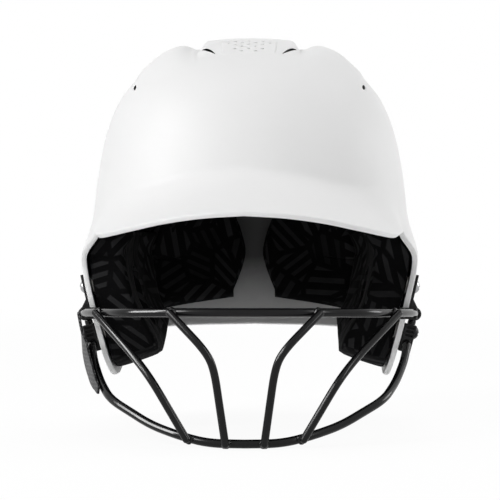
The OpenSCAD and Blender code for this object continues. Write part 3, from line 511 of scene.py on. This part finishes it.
def tube(path, r, up, sides=20):
    """Points and faces of a round wire along a path, with domed ends."""
    heads = unit(np.diff(path, axis=0))
    ways = unit(np.concatenate([heads[:1], heads[:-1] + heads[1:], heads[-1:]]))
    dome = [15, 35, 60]
    stations = [(path[0] - ways[0] * r * sin(a), ways[0], r * cos(a)) for a in dome[::-1]]
    stations += [(p, w, r) for p, w in zip(path, ways)]
    stations += [(path[-1] + ways[-1] * r * sin(a), ways[-1], r * cos(a)) for a in dome]
    points, faces = [], []
    for p, w, size in stations:
        s = unit(np.cross(w, up))
        t = np.cross(s, w)
        points += [p + size * (cos(360 * k / sides) * s + sin(360 * k / sides) * t) for k in range(sides)]
    m = len(stations)
    for i in range(m - 1):
        for k in range(sides):
            a, j = i * sides, (k + 1) % sides
            faces.append([a + k, a + sides + k, a + sides + j, a + j])
    points += [path[0] - ways[0] * r, path[-1] + ways[-1] * r]
    faces += [[m * sides, (k + 1) % sides, k][::-1] for k in range(sides)]
    faces += [[m * sides + 1, (m - 1) * sides + k, (m - 1) * sides + (k + 1) % sides][::-1] for k in range(sides)]
    return np.array(points), faces


def bead(at, toward, r, seed, rows=8, sides=16):
    """Points and faces of a small uneven weld bead, flattened along the way it joins."""
    rng = np.random.default_rng(seed)
    axis = unit(toward)
    s = unit(np.cross(axis, [0.3, 0.2, 1]))
    t = np.cross(s, axis)
    wave = rng.uniform(0, 360, 3)
    points, faces = [at + 0.55 * r * axis], []
    for i in range(1, rows):
        lat = 90 - 180 * i / rows
        for k in range(sides):
            a = 360 * k / sides
            size = r * (1 + 0.07 * sin(3 * a + wave[0]) + 0.05 * sin(5 * a + wave[1] + 2 * lat))
            points.append(at + size * cos(lat) * (cos(a) * s + sin(a) * t) + 0.55 * r * sin(lat) * axis)
    points.append(at - 0.55 * r * axis)
    for k in range(sides):
        j = (k + 1) % sides
        faces.append([0, 1 + k, 1 + j])
        for i in range(rows - 2):
            a = 1 + i * sides
            faces.append([a + k, a + sides + k, a + sides + j, a + j])
        a = 1 + (rows - 2) * sides
        faces.append([len(points) - 1, a + j, a + k])
    return np.array(points), faces


def merged(*shapes):
    points, faces, n = [], [], 0
    for p, f in shapes:
        points.append(p)
        faces += [[n + k for k in face] for face in f]
        n += len(p)
    return np.concatenate(points), faces


# Materials


def material(name, colour, roughness, **sockets):
    """A node material with its main shader's constants set; returns it with its node tree and shader."""
    m = bpy.data.materials.new(name)
    m.use_nodes = True
    tree = m.node_tree
    shader = tree.nodes["Principled BSDF"]
    shader.inputs["Base Color"].default_value = (*colour, 1)
    shader.inputs["Roughness"].default_value = roughness
    for key, value in sockets.items():
        shader.inputs[key.replace("_", " ")].default_value = value
    m.diffuse_color = (*colour, 1)
    return m, tree, shader


def node(tree, kind, links=(), **values):
    """A new node; links are (input, source socket) pairs, values its settings or inputs."""
    n = tree.nodes.new(kind)
    for key, value in values.items():
        if hasattr(n, key):
            setattr(n, key, value)
        else:
            n.inputs[key.replace("_", " ")].default_value = value
    for key, source in links:
        tree.links.new(source, n.inputs[key])
    return n


def place(tree, kind="Object"):
    return node(tree, "ShaderNodeTexCoord").outputs[kind]


def noise(tree, at, scale, detail=4.0, rough=0.5):
    return node(tree, "ShaderNodeTexNoise", [("Vector", at)], Scale=scale, Detail=detail, Roughness=rough)


def ramp(tree, source, *stops):
    n = node(tree, "ShaderNodeValToRGB", [("Fac", source)])
    while len(n.color_ramp.elements) < len(stops):
        n.color_ramp.elements.new(0.5)
    for e, (position, value) in zip(n.color_ramp.elements, stops):
        e.position = position
        e.color = (value, value, value, 1) if isinstance(value, (int, float)) else (*value, 1)
    return n.outputs["Color"]


def maths(tree, operation, a, b=0.0, clamp=False):
    n = node(tree, "ShaderNodeMath", operation=operation, use_clamp=clamp)
    for k, x in enumerate((a, b)):
        if isinstance(x, (int, float)):
            n.inputs[k].default_value = x
        else:
            tree.links.new(x, n.inputs[k])
    return n.outputs["Value"]


def mix(tree, factor, a, b):
    """Colour a to b by factor; each is a socket or a colour."""
    n = node(tree, "ShaderNodeMix", data_type="RGBA")
    for key, x in ((0, factor), (6, a), (7, b)):
        if isinstance(x, (int, float)):
            n.inputs[key].default_value = x
        elif isinstance(x, tuple):
            n.inputs[key].default_value = (*x, 1)
        else:
            tree.links.new(x, n.inputs[key])
    return n.outputs[2]


def bump(tree, shader, height, distance, strength=1.0, over=None):
    links = [("Height", height)] + ([("Normal", over)] if over else [])
    n = node(tree, "ShaderNodeBump", links, Distance=distance, Strength=strength)
    tree.links.new(n.outputs["Normal"], shader.inputs["Normal"])
    return n.outputs["Normal"]


def shell_paint(name, colour, shade):
    """Satin paint over moulded plastic: a fine orange peel, faint mottling and rubbed edges."""
    m, tree, shader = material(name, colour, 0.5, Specular_IOR_Level=0.1)
    at = place(tree)
    cloud = noise(tree, at, 14, 3).outputs["Fac"]
    worn = ramp(tree, node(tree, "ShaderNodeNewGeometry").outputs["Pointiness"], (0.53, 0.0), (0.62, 1.0))
    grain = noise(tree, at, 420, 3).outputs["Fac"]
    tone = mix(tree, cloud, tuple(c * shade for c in colour), colour)
    scuff = maths(tree, "MULTIPLY", worn, maths(tree, "MULTIPLY", grain, 0.25))
    tree.links.new(mix(tree, scuff, tone, tuple(c * 0.86 for c in colour)), shader.inputs["Base Color"])
    tree.links.new(ramp(tree, noise(tree, at, 60, 5).outputs["Fac"], (0.35, 0.44), (0.7, 0.56)),
                   shader.inputs["Roughness"])
    bump(tree, shader, grain, 0.00005, 0.35)
    return m


def shell_inside():
    """The shell's bare inside, grey and painted darker upward from the rim: painted shade for the shadow deep in the
    shell.
    """
    m, tree, shader = material("shell_inside", (0.3, 0.3, 0.3), 0.55, Specular_IOR_Level=0.2)
    at = place(tree)
    grain = noise(tree, at, 300, 3).outputs["Fac"]
    height = node(tree, "ShaderNodeSeparateXYZ", [(0, at)]).outputs[2]
    # Painted shade: the colour follows height, lighter near the rim and darker up inside the shell.
    shade_height = maths(tree, "ADD", height, maths(tree, "MULTIPLY", maths(
        tree, "SUBTRACT", noise(tree, at, 40, 4, 0.6).outputs["Fac"], 0.5), 0.012))
    tree.links.new(ramp(tree, maths(tree, "MULTIPLY", shade_height, 5.0), (0.37, 0.55), (0.53, 0.1)),
                   shader.inputs["Base Color"])
    bump(tree, shader, grain, 0.00005, 0.35)
    return m


def flat_place(tree):
    """A flat pattern's position: the two directions lying most nearly in the surface."""
    at = node(tree, "ShaderNodeSeparateXYZ", [(0, place(tree))])
    facing = node(tree, "ShaderNodeSeparateXYZ", [(0, place(tree, "Normal"))])
    x, y, z = (maths(tree, "ABSOLUTE", facing.outputs[k]) for k in range(3))
    side = maths(tree, "GREATER_THAN", x, y)
    up = maths(tree, "GREATER_THAN", z, maths(tree, "MAXIMUM", x, y))
    level = node(tree, "ShaderNodeCombineXYZ", [(0, at.outputs[0]), (1, at.outputs[1])])
    ahead = node(tree, "ShaderNodeCombineXYZ", [(0, at.outputs[0]), (1, at.outputs[2])])
    across = node(tree, "ShaderNodeCombineXYZ", [(0, at.outputs[1]), (1, at.outputs[2])])
    return mix(tree, up, mix(tree, side, ahead.outputs[0], across.outputs[0]), level.outputs[0])


def liner_cloth():
    """Knitted liner cloth with a woven-in patchwork of short angular bars."""
    m, tree, shader = material("liner_cloth", (0.006, 0.006, 0.0065), 0.9, Sheen_Weight=0.02,
                               Sheen_Roughness=0.4, Specular_IOR_Level=0.02)
    at, spot = place(tree), flat_place(tree)
    patch = dict(Scale=48.0, Randomness=1.0, voronoi_dimensions="2D")
    cells = node(tree, "ShaderNodeTexVoronoi", [("Vector", spot)], **patch)
    edge = node(tree, "ShaderNodeTexVoronoi", [("Vector", spot)], feature="DISTANCE_TO_EDGE", **patch)
    dice = node(tree, "ShaderNodeSeparateColor", [(0, cells.outputs["Color"])])
    turn = maths(tree, "MULTIPLY", dice.outputs[0], 6.28)
    way = node(tree, "ShaderNodeCombineXYZ", [(0, maths(tree, "COSINE", turn)), (1, maths(tree, "SINE", turn))])
    along = node(tree, "ShaderNodeVectorMath", [(0, spot), (1, way.outputs[0])],
                 operation="DOT_PRODUCT").outputs["Value"]
    pitch = maths(tree, "ADD", 600.0, maths(tree, "MULTIPLY", dice.outputs[1], 500.0))
    stripe = ramp(tree, maths(tree, "SINE", maths(tree, "MULTIPLY", along, pitch)), (0.1, 0.0), (0.3, 1.0))
    band = ramp(tree, edge.outputs["Distance"], (0.06, 0.0), (0.1, 1.0))
    print_ = maths(tree, "MULTIPLY", stripe, maths(tree, "MULTIPLY", band, maths(
        tree, "ADD", 0.35, maths(tree, "MULTIPLY", dice.outputs[2], 0.65))))
    tree.links.new(mix(tree, print_, (0.0042, 0.0042, 0.0045), (0.025, 0.025, 0.026)), shader.inputs["Base Color"])
    weave = noise(tree, at, 900, 2).outputs["Fac"]
    first = bump(tree, shader, noise(tree, at, 34, 2, 0.5).outputs["Fac"], 0.008, 0.7)
    second = bump(tree, shader, weave, 0.00012, 0.35, first)
    bump(tree, shader, print_, 0.0004, 0.5, second)
    return m


def bead_foam():
    """Moulded bead foam."""
    m, tree, shader = material("bead_foam", (0.02, 0.02, 0.021), 0.85, Specular_IOR_Level=0.08)
    at = place(tree)
    beads = node(tree, "ShaderNodeTexVoronoi", [("Vector", at)], Scale=330.0)
    tree.links.new(mix(tree, ramp(tree, beads.outputs["Distance"], (0.2, 0.0), (0.7, 1.0)),
                       (0.024, 0.024, 0.025), (0.01, 0.01, 0.011)), shader.inputs["Base Color"])
    bump(tree, shader, maths(tree, "SUBTRACT", 1.0, beads.outputs["Distance"]), 0.0006, 0.6)
    return m


def wire_coat():
    """Gloss black coating on the wires, with a slight orange peel and thin rubbed spots."""
    m, tree, shader = material("wire_coat", (0.004, 0.004, 0.0044), 0.16, Specular_IOR_Level=0.2)
    at = place(tree)
    worn = ramp(tree, noise(tree, at, 90, 5, 0.65).outputs["Fac"], (0.62, 0.0), (0.75, 1.0))
    tree.links.new(mix(tree, maths(tree, "MULTIPLY", worn, 0.5), (0.004, 0.004, 0.0044), (0.012, 0.012, 0.012)),
                   shader.inputs["Base Color"])
    tree.links.new(ramp(tree, noise(tree, at, 45, 4).outputs["Fac"], (0.3, 0.12), (0.75, 0.26)),
                   shader.inputs["Roughness"])
    bump(tree, shader, noise(tree, at, 260, 2).outputs["Fac"], 0.00008, 0.3)
    return m


def studded_plate():
    """Dark moulded plate with a fine field of raised dots, their tops painted light in uneven strength as a painted
    highlight.
    """
    m, tree, shader = material("plate_plastic", (0.014, 0.014, 0.015), 0.42, Specular_IOR_Level=0.22)
    cells = node(tree, "ShaderNodeTexVoronoi", [("Vector", flat_place(tree))], Scale=430.0, Randomness=0.25,
                 voronoi_dimensions="2D")
    # Painted highlight: the raised dots are painted light, patchily, for the light caught on their tops.
    dots = ramp(tree, cells.outputs["Distance"], (0.24, 1.0), (0.38, 0.0))
    lightening = ramp(tree, noise(tree, place(tree), 170, 4, 0.6).outputs["Fac"], (0.35, 0.25), (0.65, 1.0))
    tree.links.new(mix(tree, maths(tree, "MULTIPLY", dots, lightening), (0.014, 0.014, 0.015), (0.13, 0.13, 0.132)),
                   shader.inputs["Base Color"])
    bump(tree, shader, dots, 0.0003, 0.7)
    return m


def moulded(name, colour, roughness, grain=900, depth=0.00008):
    """Grained moulded plastic or rubber with rubbed edges."""
    m, tree, shader = material(name, colour, roughness, Specular_IOR_Level=0.22)
    at = place(tree)
    rough = noise(tree, at, grain, 3).outputs["Fac"]
    fleck = ramp(tree, noise(tree, at, grain, 2, 0.7).outputs["Fac"], (0.5, 0.0), (0.62, 1.0))
    lightening = ramp(tree, node(tree, "ShaderNodeNewGeometry").outputs["Pointiness"], (0.55, 0.0), (0.68, 0.35))
    light = tuple(c + 0.02 for c in colour)
    tone = mix(tree, maths(tree, "MULTIPLY", fleck, 0.25), colour, light)
    tree.links.new(mix(tree, lightening, tone, light), shader.inputs["Base Color"])
    tree.links.new(ramp(tree, noise(tree, at, 120, 4).outputs["Fac"], (0.3, roughness - 0.06),
                        (0.7, roughness + 0.08)), shader.inputs["Roughness"])
    bump(tree, shader, rough, depth, 0.6)
    return m


def plated_steel(name, colour, roughness):
    """Zinc-plated steel, turned and a little dulled."""
    m, tree, shader = material(name, colour, roughness, Metallic=1.0)
    at = place(tree)
    dull = noise(tree, at, 160, 5, 0.6).outputs["Fac"]
    tree.links.new(mix(tree, dull, tuple(c * 0.72 for c in colour), colour), shader.inputs["Base Color"])
    tree.links.new(ramp(tree, dull, (0.3, roughness + 0.12), (0.7, roughness - 0.06)), shader.inputs["Roughness"])
    lines = noise(tree, node(tree, "ShaderNodeMapping", [("Vector", at)], Scale=(300, 300, 3000)).outputs[0], 1, 2)
    bump(tree, shader, lines.outputs["Fac"], 0.00002, 0.5)
    return m


paint = shell_paint("shell_paint", (0.82, 0.82, 0.82), 0.985)
shaded_inside = shell_inside()
cloth = liner_cloth()
foam = bead_foam()
coat = wire_coat()
nylon = moulded("clip_nylon", (0.006, 0.006, 0.0065), 0.4)
rubber = moulded("block_rubber", (0.008, 0.008, 0.008), 0.7, 500, 0.0002)
badge = studded_plate()
steel = plated_steel("screw_steel", (0.4, 0.4, 0.41), 0.3)
black_steel = plated_steel("black_steel", (0.02, 0.02, 0.021), 0.35)
nut_steel = plated_steel("nut_steel", (0.5, 0.49, 0.47), 0.38)


# The shell and its vent panel


def shell():
    points, normals, rise, quads = shell_grid(4)
    outer = points + rise[:, None] * normals
    inner = outer - WALL * normals
    shape, faces = two_skins(outer, inner, quads, 0.6, 8)
    lining = np.zeros(len(faces), int)
    lining[len(quads):2 * len(quads)] = 1
    o = piece("outer_shell_skin", shape, faces, paint, "shell", inside=(shaded_inside, lining))
    cutters = []
    foot_out = crown_point(FOOT_U - 0.035, PANEL_HIGH_V - 0.015)
    foot_in = crown_point(BLOCK_U - 0.053, PANEL_LOW_V + 0.01)
    temple = crown_point(RIDGE_DROP_U, FACE_V)
    t = np.linspace(0, 1, 17)
    span = lerp(foot_out[[0, 2], None], foot_in[[0, 2], None], t).T
    hump = 4 * t * (1 - t)
    crescent = np.concatenate([span + np.stack([0 * t, 0.15 + FOOT_VENT_H * hump], -1),
                               (span + np.stack([0 * t, -0.15 + 0.3 * hump], -1))[::-1]])
    drop = [(0.5 * x + temple[0], y + temple[2]) for x, y in circle(1.7, 24)]
    nut_hole = circle(SCREW_D / 2 + 0.9 + FIT)
    for mirror in (False, True):
        ear = matrix_of([[0, 1, 0], [0, 0, 1], [1, 0, 0], [90, EAR_Y, EAR_Z]], mirror)
        cutters.append(prism(stadium(EAR_HOLE_W, EAR_HOLE_H), 30, ear))
        cutters.append(prism(nut_hole, 15, matrix_of(upper_frame, mirror) @ Matrix.Translation((0, UPPER_SCREW, 0))))
        cutters.append(prism(nut_hole, 15, matrix_of(lower_frame, mirror) @ Matrix.Translation((0, LOWER_SCREW, 0))))
        cutters.append(prism(circle(2.4), 15, matrix_of(strap_frame, mirror)))
        for outline, y, depth in ((crescent, foot_out[1] - 6.5, 19.5), (drop, temple[1] + 3, 15)):
            cutters.append(prism(outline, depth, matrix_of([[1, 0, 0], [0, 0, 1], [0, -1, 0], [0, y, 0]], mirror), 1))
    cut(o, cutters)
    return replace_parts(o, "outer_shell")


def vent_panel():
    def slab(half_u, v_out, deep, thick, bulge):
        vs = np.linspace(PANEL_LOW_V - v_out, PANEL_HIGH_V + v_out, 17)
        us = np.linspace(-half_u, half_u, 21)
        vv, uu = np.meshgrid(vs, us, indexing="ij")
        p = crown_point(uu, vv).reshape(-1, 3)
        n, rise = crown_normal(p), crown_rise(uu, vv).reshape(-1, 1)
        j, i = (g.ravel() for g in np.meshgrid(np.arange(16), np.arange(20), indexing="ij"))
        at = j * 21 + i
        quads = np.stack([at, at + 1, at + 22, at + 21], -1)
        return two_skins(p + (rise - deep) * n, p + (rise - deep - thick) * n, quads, bulge)

    plug = slab(PANEL_U + 0.006, 0.006, 0.0, WALL + CLEAR, 0.05)
    lip = slab(PANEL_U + PANEL_LIP, PANEL_LIP, WALL + CLEAR, 1.6, 0.5)
    middle = crown_point(0.0, (PANEL_LOW_V + PANEL_HIGH_V) / 2)
    n = crown_normal(middle)
    tilt = math.degrees(math.atan2(-n[1], n[2]))
    aim = Matrix.Translation((0, SHIFT_Y, 0)) @ Matrix.Translation(middle.tolist()) \
        @ Matrix.Rotation(math.radians(tilt - 8), 4, "X")
    holes = []
    for j, count in enumerate(PANEL_ROWS):
        for i in range(count):
            holes.append(aim @ Matrix.Translation(((i - (count - 1) / 2) * PANEL_HOLE_PITCH,
                                                   (j - (len(PANEL_ROWS) - 1) / 2) * PANEL_ROW_PITCH, 0)))
    parts = []
    for shape, faces in (plug, lip):
        o = piece("crown_vent_cover", shape, faces, paint, "vent_panel")
        drills = [prism(circle(PANEL_HOLE_D / 2, 20), 20, m) for m in holes]
        join(drills)
        parts.append(cut(o, drills[:1]))
    join(parts)
    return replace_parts(parts[0], "crown_vent_panel")


def join(objects):
    """Joins mesh objects into the first."""
    with bpy.context.temp_override(active_object=objects[0], selected_editable_objects=objects,
                                   selected_objects=objects, object=objects[0]):
        bpy.ops.object.join()
    return objects[0]


# The liner


def steps(n, edge):
    t = np.linspace(0, 1, n + 1)
    return t - 0.14 * (1 - edge) * sin(360 * t)


def crowned(s):
    return (1 - np.abs(2 * s - 1) ** 7) ** (1 / 2.6)


def soft(t, s, amount, seed):
    """Small unevenness of a stuffed face."""
    rng = np.random.default_rng(seed)
    out = np.zeros_like(t)
    for _ in range(7):
        a, b, c = rng.uniform(2, 9), rng.uniform(2, 9), rng.uniform(0, 360)
        out += sin(57 * a * t + 57 * b * s + c)
    return amount * out / 7 * crowned(s) * crowned(t)


def grid_quads(columns, rows):
    j, i = (g.ravel() for g in np.meshgrid(np.arange(rows), np.arange(columns), indexing="ij"))
    at = j * (columns + 1) + i
    return np.stack([at, at + 1, at + columns + 2, at + columns + 1], -1)


def side_piece(name, start, end, low, high, depth, thick, edge, look, slot, nodes, columns=44, rows=36,
               level=0.0, lift=0.0, puff=0.0, seed=1, fill=0.7, holes=None):
    """A pad or foam on the side of the dome, between bearings start(z) and end(z) and heights low(b) and high(b).

    Its inner face's foot stands lift higher."""
    made = []
    for mirror in ((False, True) if len(nodes) == 2 else (False,)):
        tt, ss = (g.ravel() for g in np.meshgrid(steps(rows, edge), steps(columns, edge), indexing="ij"))
        guess = lerp(start(100.0), end(100.0), ss)
        z = lerp(low(guess), high(guess), tt)
        b = lerp(start(z), end(z), ss)
        p, n = side_point(b, z), side_normal(b, z)
        near = p - depth * n
        t = thick(z) * lerp(edge, 1, crowned(ss) * crowned(tt)) + soft(tt, ss, puff, seed + mirror)
        far = near - t[:, None] * n * [1, 1, 1 - level]
        far[:, 2] += lift * (1 - tt) ** 3
        shape, faces = two_skins(near, far, grid_quads(columns, rows), 1.6 if edge < 0.8 else 0.8, 8,
                                 0.35 if edge < 0.8 else 0)
        o = piece(name + ("_right" if mirror else "_left") * (len(nodes) == 2), shape, faces, look, slot,
                  mirror=mirror)
        if holes:
            cut(o, [holes(mirror)])
        made.append(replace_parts(o, nodes[int(mirror)]))
    return made


def crown_piece(name, reach_u, front_v, back_v, depth, thick, edge, look, slot, cad, n=40, puff=0.0,
                holes=None):
    """The same on top of the dome, within a rounded square of the crown's grid."""
    tt, ss = (g.ravel() for g in np.meshgrid(steps(n, edge), steps(n, edge), indexing="ij"))
    a, b = 2 * ss - 1, 2 * tt - 1
    u = reach_u * a * np.sqrt(1 - b * b / 4)
    v = lerp(front_v, back_v, (b * np.sqrt(1 - a * a / 4) + 1) / 2)
    p = crown_point(u, v)
    m = crown_normal(p)
    t = thick * lerp(edge, 1, crowned(ss) * crowned(tt)) + soft(tt, ss, puff, 9)
    near = p - depth * m
    shape, faces = two_skins(near, near - t[:, None] * m, grid_quads(n, n), 1.6 if edge < 0.8 else 0.8, 8,
                             0.35 if edge < 0.8 else 0)
    o = piece(name, shape, faces, look, slot)
    if holes:
        cut(o, [holes()])
    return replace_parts(o, cad)


FOAM_DEPTH = WALL + LAYER_GAP
PAD_DEPTH = FOAM_DEPTH + FOAM_T + LAYER_GAP
EAR_DEPTH = WALL + CLEAR + 1.2 + CLEAR
EAR_END, REAR_START = 133.0, 135.5


def flat(value):
    return lambda x: value + 0 * x


def gap_bearing(z):
    return 180 - 3 - 4.4 * np.minimum(1, np.abs(z - 108) / 27) ** 1.5


def ear_cutter(mirror):
    ear = matrix_of([[0, 1, 0], [0, 0, 1], [1, 0, 0], [75, EAR_Y, EAR_Z]], mirror)
    return prism(stadium(EAR_HOLE_W + 4, EAR_HOLE_H + 4), 38, ear)


def channel_cutter():
    a = crown_point(PANEL_U + PANEL_LIP, PANEL_LOW_V - PANEL_LIP)
    b = crown_point(0.0, PANEL_HIGH_V + PANEL_LIP)
    x, low, high = a[0] + 1, a[1] - 3, b[1] + 2
    return prism([(-x, low), (x, low), (x, high), (-x, high)], 30, Matrix.Translation((0, SHIFT_Y, a[2])))


def liner():
    stiff = dict(edge=0.85, look=foam, slot="foam", columns=24, rows=16, fill=1.0)
    side_piece("brow_block", flat(-46.0), flat(46.0), flat(137.0), flat(188.0), FOAM_DEPTH, flat(FOAM_T),
               nodes=["brow_foam"], **stiff)
    side_piece("side_block", flat(49.0), flat(131.0), flat(131.0), flat(188.0), FOAM_DEPTH, flat(FOAM_T),
               nodes=["side_foam_left", "side_foam_right"], **stiff)
    side_piece("rear_block", flat(142.0), flat(169.0), flat(84.0), flat(188.0), FOAM_DEPTH, flat(FOAM_T),
               nodes=["rear_foam_left", "rear_foam_right"], **stiff)
    crown_piece("crown_block", 0.72, -0.7, 0.7, FOAM_DEPTH, FOAM_T, 0.85, foam, "foam", "crown_foam", 24,
                holes=channel_cutter)
    plush = dict(edge=0.35, look=cloth, slot="liner", puff=0.9)
    side_piece("brow_cushion", flat(-43.0), flat(43.0), flat(135.0), flat(172.0), PAD_DEPTH, flat(PAD_T),
               nodes=["brow_pad"], seed=3, **plush)
    side_piece("side_cushion", flat(46.0), flat(EAR_END), flat(128.5), flat(178.0), PAD_DEPTH, flat(PAD_T),
               nodes=["side_pad_left", "side_pad_right"], seed=5, **plush)
    side_piece("rear_cushion", flat(REAR_START), gap_bearing, lambda b: lerp(66, 76, (b - REAR_START) / 40),
               flat(178.0), PAD_DEPTH, flat(PAD_T), nodes=["rear_pad_left", "rear_pad_right"], seed=7, **plush)
    crown_piece("crown_cushion", 0.55, -0.5, 0.5, PAD_DEPTH, PAD_T, 0.35, cloth, "liner", "crown_pad", puff=0.5)
    side_piece("ear_cushion", lambda z: FRONT_EDGE + 1.5 + edge_shift(z), flat(EAR_END),
               lambda b: rim_z(b) + 3.5, flat(126.0), EAR_DEPTH,
               lambda z: lerp(EAR_PAD_LOW_T, EAR_PAD_T, smooth((z - 45) / 35)), 0.88, cloth, "liner",
               ["ear_pad_left", "ear_pad_right"], level=0.8, lift=7.0, puff=1.0, seed=11, holes=ear_cutter)


# The cage


def cage():
    up, ahead = [0, 0, 1], [0, -1, 0]
    for name, half, cad in (("top_wire", top_half, "cage_top_wire"), ("bottom_wire", bottom_half, "cage_bottom_wire")):
        o = piece(name, *tube(whole(half), BAR_R, up), coat, "cage")
        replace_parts(o, cad)
    for name, path, reaches in (("inner_strut", inner_strut, (40, 10.5)), ("outer_strut", outer_strut, (83.5, 30.5))):
        joints = [reach_x(top_half, reaches[0])[0], reach_x(bottom_half, reaches[1])[0]]
        for mirror in (False, True):
            side = "_right" if mirror else "_left"
            beads = [bead(lerp(end, wire, 0.5), wire - end, 3.0, seed)
                     for seed, (end, wire) in enumerate(zip((path[0], path[-1]), joints), 20)]
            shape, faces = merged(tube(path, STRUT_R, ahead), *beads)
            o = piece(name + side, shape, faces, coat, "cage", mirror=mirror)
            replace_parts(o, "cage_" + name + side)


# Small solid pieces keep the CAD's shapes, with their edges rounded


def dressed(cad, name, look, width, angle=30):
    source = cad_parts[cad]
    o = bpy.data.objects.new(name, source.data.copy())
    bpy.context.scene.collection.objects.link(o)
    bm = bmesh.new()
    bm.from_mesh(o.data)
    bmesh.ops.remove_doubles(bm, verts=bm.verts, dist=1e-6)
    bmesh.ops.dissolve_limit(bm, angle_limit=math.radians(1), verts=bm.verts, edges=bm.edges)
    bm.to_mesh(o.data)
    bm.free()
    o.data.materials.clear()
    o.data.materials.append(look)
    o.data.shade_smooth()
    step = o.modifiers.new("edges", "BEVEL")
    step.width, step.segments, step.limit_method = width, 3, "ANGLE"
    step.angle_limit, step.harden_normals = math.radians(angle), True
    baked(o)
    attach(o, "root")
    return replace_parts(o, cad)


def fixings():
    for side in ("_left", "_right"):
        dressed("upper_clip" + side, "loop_clip" + side, nylon, 0.00035)
        dressed("lower_clip" + side, "slotted_clip" + side, nylon, 0.0004)
        dressed("spacer_block" + side, "rubber_block" + side, rubber, 0.0006)
        for level in ("upper", "lower"):
            dressed(level + "_screw" + side, level + "_bolt" + side, steel if level == "upper" else black_steel,
                    0.00015)
            dressed(level + "_tee_nut" + side, level + "_nut" + side, nut_steel, 0.0002)
    dressed("cage_side_plate", "grained_plate", badge, 0.0004)


shell()
vent_panel()
liner()
cage()
fixings()


# Floor, light and camera


def stage():
    mesh = bpy.data.meshes.new("floor")
    mesh.from_pydata([(-30, -30, 0), (30, -30, 0), (30, 30, 0), (-30, 30, 0)], [], [(0, 1, 2, 3)])
    floor = bpy.data.objects.new("floor", mesh)
    bpy.context.scene.collection.objects.link(floor)
    m, tree, shader = material("floor_card", (0.95, 0.95, 0.95), 0.9)
    path = node(tree, "ShaderNodeLightPath")
    seen = maths(tree, "MAXIMUM", path.outputs["Is Camera Ray"],
                 maths(tree, "MAXIMUM", path.outputs["Is Glossy Ray"], path.outputs["Is Transmission Ray"]))
    glow = node(tree, "ShaderNodeEmission", Color=(1, 1, 1, 1), Strength=1.0)
    blend = node(tree, "ShaderNodeMixShader", [(1, shader.outputs[0]), (2, glow.outputs[0])])
    away = node(tree, "ShaderNodeVectorMath", [(0, place(tree))], operation="LENGTH").outputs["Value"]
    share = ramp(tree, maths(tree, "MULTIPLY", away, 0.33), (0.15, 0.93), (0.8, 1.0))
    tree.links.new(maths(tree, "MULTIPLY", seen, share), blend.inputs[0])
    tree.links.new(blend.outputs[0], tree.nodes["Material Output"].inputs["Surface"])
    mesh.materials.append(m)

    world = bpy.data.worlds.new("studio")
    bpy.context.scene.world = world
    world.use_nodes = True
    tree = world.node_tree
    back = tree.nodes["Background"]
    back.inputs["Color"].default_value = (1, 1, 1, 1)
    path = node(tree, "ShaderNodeLightPath")
    seen = maths(tree, "MAXIMUM", path.outputs["Is Camera Ray"],
                 maths(tree, "MAXIMUM", path.outputs["Is Glossy Ray"], path.outputs["Is Transmission Ray"]))
    fill = 0.45
    strength = maths(tree, "ADD", maths(tree, "MULTIPLY", seen, 1 - fill), fill)
    tree.links.new(strength, back.inputs["Strength"])


def lamp(name, at, aim, size, power_w, tall=0.0):
    data = bpy.data.lights.new(name, "AREA")
    data.shape, data.size, data.energy = "RECTANGLE" if tall else "DISK", size, power_w
    if tall:
        data.size_y = tall
    o = bpy.data.objects.new(name, data)
    bpy.context.scene.collection.objects.link(o)
    o.location = at
    o.rotation_euler = (Vector(aim) - Vector(at)).to_track_quat("-Z", "Y").to_euler()
    return o


def camera():
    target = Vector((-0.0006, SHIFT_Y * MM, 0.1107))
    distance, azimuth, half_angle = 1.3, math.radians(1.3), math.radians(6.91)
    data = bpy.data.cameras.new("camera")
    data.sensor_width = 36
    data.lens = data.sensor_width / 2 / math.tan(half_angle)
    data.clip_start = 0.01
    o = bpy.data.objects.new("camera", data)
    bpy.context.scene.collection.objects.link(o)
    back = Vector((math.sin(azimuth), -math.cos(azimuth), 0))
    o.location = target + distance * back
    o.rotation_euler = (-back).to_track_quat("-Z", "Y").to_euler()
    bpy.context.scene.camera = o


stage()
lamp("key", (-1.35, -1.35, 1.22), (0, 0, 0.14), 0.7, 21)
lamp("rim", (1.77, 0.6, 0.7), (0, 0, 0.12), 0.9, 13)
lamp("top", (0.0, 0.2, 2.0), (0, 0, 0.2), 0.8, 6)
for x, y, watts in ((-1.93, -0.52, 90), (-1.55, -1.25, 24), (1.55, -1.25, 20)):
    lamp("strip", (x, y, 1.1), (0, 0, 0.1), 0.5, watts, 1.7).visible_diffuse = False
camera()
bpy.context.scene.view_settings.view_transform = "Standard"
